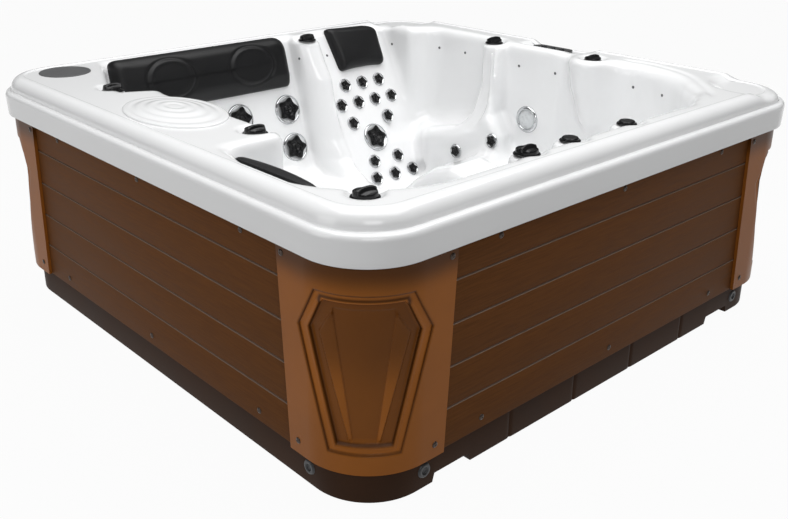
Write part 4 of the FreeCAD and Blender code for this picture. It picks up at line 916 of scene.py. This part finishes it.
board = board_form()
heights = [(0, 0, BOARD_BOTTOM + BOARD_PITCH * step) for step in range(BOARD_COUNT)]
for quarter, name in enumerate(("front_boards", "right_boards", "back_boards", "left_boards")):
    boards = scatter(name + "_look", board, heights, [(0, 0, 1)] * BOARD_COUNT, [1.0] * BOARD_COUNT, BOARD)
    boards.data.transform(Matrix.Rotation(quarter * math.pi / 2, 4, "Z"))
    show(boards, "tub", name)
bpy.data.objects.remove(board)


# Corner panels: a sunk six-sided field with two folded pleats


def inside_polygon(t, z, corners):
    """Signed distance to a convex outline, negative inside; corners run anticlockwise."""
    distance = np.full(t.shape, -np.inf)
    for (t0, z0), (t1, z1) in zip(corners, corners[1:] + corners[:1]):
        length = math.hypot(t1 - t0, z1 - z0)
        distance = np.maximum(distance, ((t - t0) * (z1 - z0) - (z - z0) * (t1 - t0)) / length)
    return distance


def mirrored(right):
    """Closed anticlockwise outline from its right-hand points, bottom to top."""
    return right + [(-t, z) for t, z in reversed(right)]


HEX_OUTER = mirrored([(94, 160), (168, 495), (123, 606)])
HEX_INNER = mirrored([(74, 178), (141, 495), (104, 588)])
# Half widths of a pleat's inner and outer line by height
PLEAT_INNER = ([179, 550], [30, 78])
PLEAT_OUTER = ([179, 490, 550], [36, 111, 78])
CREST = (566, 584)
# Depths in millimetres with the stretches over which they fall; a ridge is its height, place and width
FIELD = Sizes(step=9, step_edge=(-2, 4), slope=2, slope_edge=(4, 18), floor=13, floor_edge=(-1, 8),
              lip=(2.5, 3, 3.0), crest_lip=(11, -4, 3.5), pleat=7, pleat_edge=3, pleat_least=4, pleat_top=550,
              pleat_in=(8, 16), pleat_foot=(180, 200), gutter=3, gutter_top=560)
# Painted light on the corner panels: darker grooves and sunk field, lighter band, pleats and top lip, and a
# painted shadow under the rim; a ridge is its height, place and width
PAINTED_PANEL_LIGHT = Sizes(step=(0.72, -1, 3.0), groove=(0.80, -4, 4.5), groove_shift=7, darkest=0.85, field=0.50,
              field_edge=(6, 14), field_low=0.62, field_rise=(220, 480), band=0.12, band_out=(3, 7),
              band_in=(-4, 0), fold=0.5, fold_edge=2, fold_top=(330, 470), fold_foot=(180, 190),
              crown=(1.3, -5, 3.0), rim=0.68, rim_edge=(592, 668), brightest=1.6)
WING = 109.0
FOOT_WING = 76.0
PANEL_THICK = 11.5
PANEL_LIFT = 0.5
SINK_TURN = 10
WING_STEPS = 26
BEND_STEPS = 150
HEIGHT_STEPS = 210
PANELS = ("far_corner_panel", "left_corner_panel", "near_corner_panel", "right_corner_panel")


def panel_depth(t, z):
    """How far the corner panel is sunk at a distance from its middle and a height."""
    outer = inside_polygon(t, z, HEX_OUTER)
    inner = inside_polygon(t, z, HEX_INNER)
    depth = FIELD.step * ramp(-outer, *FIELD.step_edge) + FIELD.slope * ramp(-outer, *FIELD.slope_edge)
    depth = depth + FIELD.floor * ramp(-inner, *FIELD.floor_edge)
    depth = depth - hump(inner, *FIELD.lip) - hump(inner, *FIELD.crest_lip) * ramp(z, *CREST)
    side = np.abs(t)
    line_in = np.interp(z, *PLEAT_INNER)
    line_out = np.interp(z, *PLEAT_OUTER)
    face = np.clip((side - line_in) / np.maximum(line_out - line_in, FIELD.pleat_least), 0, 1)
    live = ramp(-inner, *FIELD.pleat_in) * ramp(z, *FIELD.pleat_foot)
    face = face * (1 - ramp(side, line_out, line_out + FIELD.pleat_edge)) * (z < FIELD.pleat_top)
    gutter = FIELD.gutter * (side < line_in) * (z < FIELD.gutter_top)
    return depth + live * (gutter - FIELD.pleat * face)


def paint_panel_light(t, z):
    """Painted darkening in the grooves round the two six-sided steps and in the sunk field, painted
    highlights on the band, the pleats and the top lip, and a painted shadow under the rim.
    """
    outer = inside_polygon(t, z, HEX_OUTER)
    inner = inside_polygon(t, z, HEX_INNER)
    side = np.abs(t)
    crest = ramp(z, *CREST)
    dark = hump(outer, *PAINTED_PANEL_LIGHT.step) + hump(inner - PAINTED_PANEL_LIGHT.groove_shift * crest, *PAINTED_PANEL_LIGHT.groove)
    field_tone = PAINTED_PANEL_LIGHT.field_low + (1 - PAINTED_PANEL_LIGHT.field_low) * ramp(z, *PAINTED_PANEL_LIGHT.field_rise)
    field = PAINTED_PANEL_LIGHT.field * ramp(-inner, *PAINTED_PANEL_LIGHT.field_edge) * field_tone
    band = ramp(-outer, *PAINTED_PANEL_LIGHT.band_out) * (1 - ramp(-inner, *PAINTED_PANEL_LIGHT.band_in))
    line_in = np.interp(z, *PLEAT_INNER)
    line_out = np.interp(z, *PLEAT_OUTER)
    fold = ramp(side, line_in - PAINTED_PANEL_LIGHT.fold_edge, line_in + PAINTED_PANEL_LIGHT.fold_edge)
    fold = fold * (1 - ramp(side, line_out - PAINTED_PANEL_LIGHT.fold_edge, line_out + PAINTED_PANEL_LIGHT.fold_edge))
    fold = fold * (1 - ramp(z, *PAINTED_PANEL_LIGHT.fold_top)) * ramp(z, *PAINTED_PANEL_LIGHT.fold_foot)
    # Painted highlights: a lighter band between the steps, lighter pleat faces and a lighter lip along the
    # top of the inner step
    light = (1 + PAINTED_PANEL_LIGHT.band * band) * (1 + PAINTED_PANEL_LIGHT.fold * fold) * (1 + hump(inner, *PAINTED_PANEL_LIGHT.crown) * crest)
    tone = (1 - np.clip(dark, 0, PAINTED_PANEL_LIGHT.darkest)) * (1 - field) * light
    # Painted shadow under the rim darkens the panel's top
    return np.clip(tone * (1 - PAINTED_PANEL_LIGHT.rim * ramp(z, *PAINTED_PANEL_LIGHT.rim_edge)), 0, PAINTED_PANEL_LIGHT.brightest)


def corner_panel():
    """Points, faces and painted darkening and highlights of the rounded panel with its two wings, about the
    corner's centre.
    """
    radius = CORNER + PANEL_PROUD
    bend = radius * math.pi / 2
    along = np.concatenate([np.linspace(-WING, 0, WING_STEPS, endpoint=False),
                            np.linspace(0, bend, BEND_STEPS, endpoint=False),
                            np.linspace(bend, bend + WING, WING_STEPS + 1)])
    heights = np.linspace(BOARD_BOTTOM + PANEL_LIFT, PANEL_TOP, HEIGHT_STEPS)
    travel, z = np.meshgrid(along, heights, indexing="ij")
    stretch = np.interp(z, [BOARD_BOTTOM, PANEL_TOP], [FOOT_WING, WING]) / WING
    travel = np.where(travel < 0, travel * stretch, travel)
    travel = np.where(travel > bend, bend + (travel - bend) * stretch, travel)
    angle = np.clip(travel / radius, 0, math.pi / 2)
    out_x, out_y = np.cos(angle), np.sin(angle)
    x = radius * out_x + np.minimum(bend - travel, 0)
    y = radius * out_y + np.minimum(travel, 0)
    lateral = (y - x) / math.sqrt(2)
    depth = panel_depth(lateral, z)
    diagonal = 1 / math.sqrt(2)
    share = ramp(depth, 0, SINK_TURN)
    x = x - depth * (out_x * (1 - share) + diagonal * share)
    y = y - depth * (out_y * (1 - share) + diagonal * share)
    front = np.stack([x, y, z], -1).reshape(-1, 3)
    back = np.stack([x - PANEL_THICK * out_x, y - PANEL_THICK * out_y, z], -1).reshape(-1, 3)
    rows, cols = z.shape
    numbers = np.arange(rows * cols).reshape(rows, cols)
    border = np.concatenate([numbers[:, 0], numbers[-1, 1:], numbers[-2::-1, -1], numbers[0, -2:0:-1]])
    following = np.roll(border, -1)
    returns = np.stack([following, border, border + rows * cols, following + rows * cols], -1)
    used, quads = trimmed(np.concatenate([grid_faces(rows, cols), returns]))
    return np.concatenate([front, back])[used], quads, np.tile(paint_panel_light(lateral, z).ravel(), 2)[used]


panel_verts, panel_faces, panel_painted_lights = corner_panel()
panel_x, panel_y, panel_z = (panel_verts + (CORE, CORE, 0)).T
for quarter, name in enumerate(PANELS):
    cos, sin = quarter_turn(quarter)
    turned = np.stack([cos * panel_x - sin * panel_y, sin * panel_x + cos * panel_y, panel_z], -1)
    panel = mesh_object(name + "_look", turned, panel_faces, CORNER_BROWN, SHARP.panel)
    # Painted darkening and painted highlights ride on each point of the panel
    layer = panel.data.attributes.new("painted_light", "FLOAT_COLOR", "POINT")
    layer.data.foreach_set("color", np.repeat(panel_painted_lights[:, None], 4, 1).astype(np.float32).ravel())
    show(panel, "tub", name)


# Screws of boards and corner panels: distance along a side, height and how far they stand proud
MIDDLE_SCREWS = [(0, 664, 0), (0, 137, 0)]
SIDE_SCREWS = [(546, 664, 0), (590, 137, 0), (738, 664, PANEL_PROUD), (783, 142, PANEL_PROUD)]
SCREW_HEAD = [(POLE, 2.2), (2.2, 2.4), (2.6, 3.9), (4.6, 3.4), (7.6, 2.2), (9.2, 0.6), (9.2, 0)]


def screw_places():
    """Places and axes of the screws on all four sides."""
    spots = list(MIDDLE_SCREWS)
    for side in (-1, 1):
        spots += [(side * along, height, proud) for along, height, proud in SIDE_SCREWS]
    places = []
    axes = []
    for quarter in range(4):
        turn = Matrix.Rotation(quarter * math.pi / 2, 3, "Z")
        for along, height, proud in spots:
            places.append(turn @ Vector((along, -CABINET - proud, height)))
            axes.append(turn @ Vector((0, -1, 0)))
    return places, axes


places, axes = screw_places()
screws = turned_pieces("screw_heads", SCREW_HEAD, ROUND.screw, places, axes, SCREW)
show(screws, "tub", "cabinet_screws")


# Base
BASE = Sizes(lift=26, lift_in=(618, 622), lift_out=(758, 762), flute=4, flute_width=5, flutes=(150, 450),
             wall=10, floor=12, roof=10, foot=70, roof_reach=82, floor_reach=84, ease=1.5, top_ease=1.2,
             top_drop=2)
BASE_STEPS = (220, 24)
FACE_ON = 0.999
STRAIGHT_END = CORE - 1


def base_sweep():
    """Base wall with lifted stretches beside its corner feet and shallow upright flutes, front and back."""
    cores, normals = square_path(CORE, *BASE_STEPS)
    fronted = np.abs(normals[:, 1]) > FACE_ON
    side = np.where(fronted, np.abs(cores[:, 0]), CORE)
    fluted = fronted & (side < STRAIGHT_END)
    lift = BASE.lift * ramp(side, *BASE.lift_in) * (1 - ramp(side, *BASE.lift_out)) * fluted
    flute = -sum(hump(side, BASE.flute, place, BASE.flute_width) for place in BASE.flutes) * fluted
    roof = np.where(lift > 1, lift + BASE.roof, BASE.floor)
    profile = [(BASE.foot, 0), (BASE.foot, lift), (BASE.ease, lift), (0, lift + BASE.ease),
               (0, BOARD_BOTTOM - BASE.top_drop), (BASE.top_ease, BOARD_BOTTOM), (BASE.wall, BOARD_BOTTOM),
               (BASE.wall, roof), (BASE.roof_reach, roof), (BASE.floor_reach, BASE.floor)]
    rings = []
    for inset, height in profile:
        reach = CORNER - BASE_INSET - inset + flute * (inset < BASE.wall)
        rings.append(np.concatenate([cores + normals * reach[:, None], (height + 0 * side)[:, None]], -1))
    return skinned(rings)


verts, faces = base_sweep()
base = outwards(mesh_object("base_tray", verts, faces, BASE_DARK, SHARP.base))
show(base, "tub", "base_pan")


# Pillows
CORNER_STEPS = 9
CUSHION_MIDDLE = 0.985
CUSHION_CROWDING = 1.5


def rounded_outline(points, radii, count):
    """Closed outline of a polygon with one corner radius per point, in even steps."""
    outline = []
    for index, (point, reach) in enumerate(zip(points, radii)):
        corner = np.array(point, float)
        before = np.array(points[index - 1], float) - corner
        after = np.array(points[(index + 1) % len(points)], float) - corner
        start = corner + before / np.linalg.norm(before) * reach
        end = corner + after / np.linalg.norm(after) * reach
        for share in np.linspace(0, 1, CORNER_STEPS):
            outline.append((1 - share) ** 2 * start + 2 * share * (1 - share) * corner + share ** 2 * end)
    closed = np.array(outline + outline[:1])
    travel = np.concatenate([[0], np.cumsum(np.linalg.norm(np.diff(closed, axis=0), axis=1))])
    spots = np.linspace(0, travel[-1], count, endpoint=False)
    return np.stack([np.interp(spots, travel, closed[:, 0]), np.interp(spots, travel, closed[:, 1])], -1)


def cushion(outline, height, rings):
    """Closed pad over an outline: height(x, y, distance to the edge) gives its face, the back is flat."""
    low, high = outline.min(0), outline.max(0)
    reach = (high[1] - low[1]) / 2
    core_x = np.clip(outline[:, 0], low[0] + reach, high[0] - reach)
    if high[0] - low[0] < 2 * reach:
        core_x = np.full(len(outline), (low[0] + high[0]) / 2)
    core = np.stack([core_x, np.full(len(outline), (low[1] + high[1]) / 2)], -1)
    gap = np.linalg.norm(outline - core, axis=1)
    stack = [np.concatenate([outline, np.zeros((len(outline), 1))], -1)]
    for share in 1 - np.linspace(0, CUSHION_MIDDLE, rings) ** CUSHION_CROWDING:
        spot = core + share * (outline - core)
        face = height(spot[:, 0], spot[:, 1], (1 - share) * gap)
        stack.append(np.concatenate([spot, face[:, None]], -1))
    return skinned(stack)


THINNEST = 0.5
# Pads: thickness, rounding of the edge and share of its lip, the falls of the crown, and ridges and grooves
# as height, place and width
DOUBLE = Sizes(thick=56, edge=46, lip=0.12, fall=0.10, middle=13, half=111, swell=(0.05, 20, 45), taper=0.38,
               taper_span=(40, 100), ovals=(-174, 214), oval_level=16, oval_stretch=1.34,
               groove=(6.0, 82, 5.0), ridge=(3.5, 70, 6))
LOUNGE = Sizes(thick=44, edge=34, lip=0.12, fall=0.10, half=95, end_fall=0.08, half_length=150,
               seam=(1.6, 13, 3.0))
SIDE = Sizes(thick=46, edge=40, lip=0.15, end_fall=0.45, half_length=190)


def pad_edge(distance, pad):
    """Rounded edge of a pad: from a thin lip up to full height."""
    share = np.clip(distance / pad.edge, 0, 1)
    return pad.thick * (pad.lip + (1 - pad.lip) * np.sqrt(1 - (1 - share) ** 2))


def double_height(x, y, edge):
    """Face of the double pillow with its two ovals."""
    crown = 1 - DOUBLE.fall * ((y - DOUBLE.middle) / DOUBLE.half) ** 2 + hump(y, *DOUBLE.swell)
    face = pad_edge(edge, DOUBLE) * crown * (1 - DOUBLE.taper * ramp(-y, *DOUBLE.taper_span))
    for place in DOUBLE.ovals:
        away = np.hypot((x - place) / DOUBLE.oval_stretch, y - DOUBLE.oval_level)
        face = face - hump(away, *DOUBLE.groove) + hump(away, *DOUBLE.ridge)
    return np.maximum(face, THINNEST)


def lounge_height(x, y, edge):
    """Face of the lounger's pillow with a seam inside its edge."""
    crown = 1 - LOUNGE.fall * (y / LOUNGE.half) ** 2 - LOUNGE.end_fall * (x / LOUNGE.half_length) ** 2
    return np.maximum(pad_edge(edge, LOUNGE) * crown - hump(edge, *LOUNGE.seam), THINNEST)


def side_height(x, y, edge):
    """Face of the side seat's pillow, thinner towards its ends."""
    return np.maximum(pad_edge(edge, SIDE) * (1 - SIDE.end_fall * (x / SIDE.half_length) ** 2), THINNEST)


SIDE_WALL = Sizes(back=940, lean=17.7)
PILLOWS = {
    "double_pillow": Sizes(
        corners=[(-415, -98), (415, -98), (415, 122), (-415, 122)], radii=(14, 18, 62, 40),
        height=double_height, wall=BENCH, facing=(0, -1), along=-222, level=700),
    "lounge_pillow": Sizes(
        corners=[(-132, -94), (-50, -86), (50, -86), (132, -94), (148, 82), (96, 104), (-146, 113)],
        radii=(24, 30, 30, 24, 26, 30, 22),
        height=lounge_height, wall=LOUNGER, facing=(0, -1), along=594, level=716),
    "side_pillow": Sizes(
        corners=[(-190, -60), (190, -60), (190, 60), (-190, 60)], radii=(40, 40, 54, 54),
        height=side_height, wall=SIDE_WALL, facing=(1, 0), along=-566, level=752),
}
PILLOW_WELD = 0.4
for name, pillow in PILLOWS.items():
    outline = rounded_outline(pillow.corners, pillow.radii, ROUND.pillow)
    verts, faces = cushion(outline, pillow.height, RINGS.pillow)
    lean = math.radians(pillow.wall.lean)
    setback = pillow.wall.back - (DECK - pillow.level) * math.tan(lean)
    face_x, face_y = pillow.facing
    origin = (pillow.along, setback, pillow.level) if face_y else (-setback, pillow.along, pillow.level)
    axis = (face_x * math.cos(lean), face_y * math.cos(lean), math.sin(lean))
    pad = mesh_object(name + "_pad", to_wall(verts, origin, axis), faces, PILLOW, SHARP.pillow)
    outwards(pad, PILLOW_WELD)
    pad.data.shade_smooth()
    show(pad, "tub", name)


# Lights and hose ports
LIGHT_RING = [(42, 0.5), (42.5, 5), (44, 8.5), (47, 10), (52, 8.6), (56, 5), (58, 2), (58, 0)]
LIGHT_LENS = [(POLE, 9), (14, 8.6), (28, 7.2), (38, 5.2), (42, 3.5), (42.6, 0)]
LED_DOME = [(POLE, 3.2), (3, 2.8), (5, 1.6), (6, 0)]
PORT_COLLAR = [(POLE, 0.4), (10, 0.4), (10.4, 3.4), (12, 4.8), (17, 4.8), (20, 3.6), (22, 0)]
PIECE_GAP = 80
LED_ROUNDS = 24
low, high = box_mm("light_bezel")
light = (high[0], (low[1] + high[1]) / 2, (low[2] + high[2]) / 2)
verts, faces = lathe(LIGHT_RING, ROUND.light)
bezel = mesh_object("light_ring", to_wall(verts, light, (-1, 0, 0)), faces, CHROME)
show(bezel, "tub", "light_bezel")
verts, faces = lathe(LIGHT_LENS, ROUND.light)
glass = outwards(mesh_object("light_glass", to_wall(verts, light, (-1, 0, 0)), faces, LENS), WELD)
show(glass, "tub", "light_lens")


def piece_centres(node):
    """Middles of a node's small separate pieces, in millimetres."""
    groups = []
    for vert in frame["nodes"][node].data.vertices:
        place = np.array(vert.co) / MM
        near = [group for group in groups if np.linalg.norm(group[0] - place) < PIECE_GAP]
        if near:
            near[0].append(place)
        else:
            groups.append([place])
    return np.array([np.mean(group, axis=0) for group in groups])


spots = settle(shell_field, piece_centres("waterline_lights"), LED_ROUNDS)
leds = turned_pieces("led_domes", LED_DOME, ROUND.led, spots, gradient(shell_field, spots), LED)
show(leds, "tub", "waterline_lights")
ports = piece_centres("hose_ports")
facing = np.array([(0, np.sign(y), 0) if abs(y) > abs(x) else (np.sign(x), 0, 0) for x, y, _ in ports])
ports = np.where(facing != 0, BASE_REACH * facing, ports)
collars = turned_pieces("port_collars", PORT_COLLAR, ROUND.port, ports, facing, PUMP)
show(collars, "tub", "hose_ports")

# Pieces that keep their CAD form take a matching finish
KEPT = {
    "cabinet_frame": TIMBER, "control_panel": PANEL_BLACK, "jet_pump": PUMP, "control_pack": PUMP,
    "filter_cartridge": FILTER, "suction_covers": PALE, "light_button": KEY,
    "jets_button": KEY, "heat_button": KEY,
}
for name, material in KEPT.items():
    mesh = frame["nodes"][name].data
    mesh.materials.clear()
    mesh.materials.append(material)


# Stage: pale floor, soft lights and the photograph's camera
FLOOR_REACH = 20000
FLOOR_LEVEL = -0.5
FLOOR_GREYS = ((0.33, 0.33, 0.33, 1), (0.37, 0.37, 0.37, 1))
FLOOR_GRAIN = 2.0
FLOOR_ROUGHNESS = 0.8
FLOOR_GLOW = 0.96
WORLD_STRENGTH = 0.18


def stage_floor():
    """Pale floor that looks white to the camera and in reflections, and keeps the shadow."""
    material = bpy.data.materials.new("studio_floor")
    material.use_nodes = True
    tree = material.node_tree
    shader = tree.nodes["Principled BSDF"]
    place = add_node(tree, "ShaderNodeTexCoord").outputs["Object"]
    grain = add_node(tree, "ShaderNodeTexNoise", {"Vector": place, "Scale": FLOOR_GRAIN})
    feed(tree, shader.inputs["Base Color"], color_ramp(tree, grain.outputs["Fac"], FLOOR_GREYS))
    feed(tree, shader.inputs["Roughness"], FLOOR_ROUGHNESS)
    glow = add_node(tree, "ShaderNodeEmission", {"Color": WHITE, "Strength": 1.0})
    path = add_node(tree, "ShaderNodeLightPath").outputs
    seen = path["Is Camera Ray"]
    for kind, other in (("MAXIMUM", path["Is Glossy Ray"]), ("MAXIMUM", path["Is Transmission Ray"]),
                        ("MULTIPLY", FLOOR_GLOW)):
        step = add_node(tree, "ShaderNodeMath", {0: seen, 1: other})
        step.operation = kind
        seen = step.outputs["Value"]
    mix = add_node(tree, "ShaderNodeMixShader", {
        "Fac": seen, 1: shader.outputs["BSDF"], 2: glow.outputs["Emission"]})
    feed(tree, tree.nodes["Material Output"].inputs["Surface"], mix.outputs["Shader"])
    corners = np.array([(-1, -1, 0), (1, -1, 0), (1, 1, 0), (-1, 1, 0)]) * FLOOR_REACH + (0, 0, FLOOR_LEVEL)
    mesh_object("studio_floor", corners, [(0, 1, 2, 3)], material)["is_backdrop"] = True


stage_floor()
world = bpy.data.worlds.new("studio")
scene.world = world
world.use_nodes = True
world.node_tree.nodes["Background"].inputs["Color"].default_value = WHITE
world.node_tree.nodes["Background"].inputs["Strength"].default_value = WORLD_STRENGTH


def area_light(name, place, target, size, power):
    """Soft rectangular lamp at a place in metres, aimed at a target."""
    data = bpy.data.lights.new(name, "AREA")
    data.shape = "RECTANGLE"
    data.size, data.size_y = size
    data.energy = power
    lamp = bpy.data.objects.new(name, data)
    lamp.location = place
    lamp.rotation_euler = (Vector(target) - Vector(place)).to_track_quat("-Z", "Y").to_euler()
    scene.collection.objects.link(lamp)


area_light("overhead", (0.2, -0.2, 4.2), (0, 0, 0.6), (4.5, 4.5), 202)
area_light("left_side", (-4.6, 0.4, 1.6), (0, 0, 0.4), (2.2, 2.6), 34)
area_light("front_side", (0.8, -4.6, 2.2), (0, 0, 0.4), (2.6, 1.8), 3)
area_light("near_corner", (-3.0, -4.2, 2.8), (-0.7, -0.8, 0.6), (2.0, 1.6), 36)

AZIMUTH = math.radians(-42.36)
ELEVATION = math.radians(21.88)
ROLL = math.radians(0.218)
CAMERA_PLACE = (-2.28987, -2.49436, 1.58024)
SENSOR = 36
FAR_CLIP = 100
FOCAL_PX = 949.86
FRAME_PX = (788, 519)
PRINCIPAL_PX = (385.43, 231.75)
camera_data = bpy.data.cameras.new("photo_camera")
camera_data.sensor_width = SENSOR
camera_data.sensor_fit = "HORIZONTAL"
camera_data.lens = FOCAL_PX * SENSOR / FRAME_PX[0]
camera_data.shift_x = (FRAME_PX[0] / 2 - PRINCIPAL_PX[0]) / FRAME_PX[0]
camera_data.shift_y = (PRINCIPAL_PX[1] - FRAME_PX[1] / 2) / FRAME_PX[0]
camera_data.clip_end = FAR_CLIP
camera = bpy.data.objects.new("photo_camera", camera_data)
level_back = Vector((math.sin(AZIMUTH), -math.cos(AZIMUTH), 0))
back = math.cos(ELEVATION) * level_back + math.sin(ELEVATION) * Vector((0, 0, 1))
flat_right = Vector((math.cos(AZIMUTH), math.sin(AZIMUTH), 0))
flat_up = back.cross(flat_right)
right = math.cos(ROLL) * flat_right + math.sin(ROLL) * flat_up
up = -math.sin(ROLL) * flat_right + math.cos(ROLL) * flat_up
turn = Matrix((right, up, back)).transposed().to_4x4()
turn.translation = CAMERA_PLACE
camera.matrix_world = turn
scene.collection.objects.link(camera)
scene.camera = camera
scene.view_settings.view_transform = "Standard"

low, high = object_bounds()
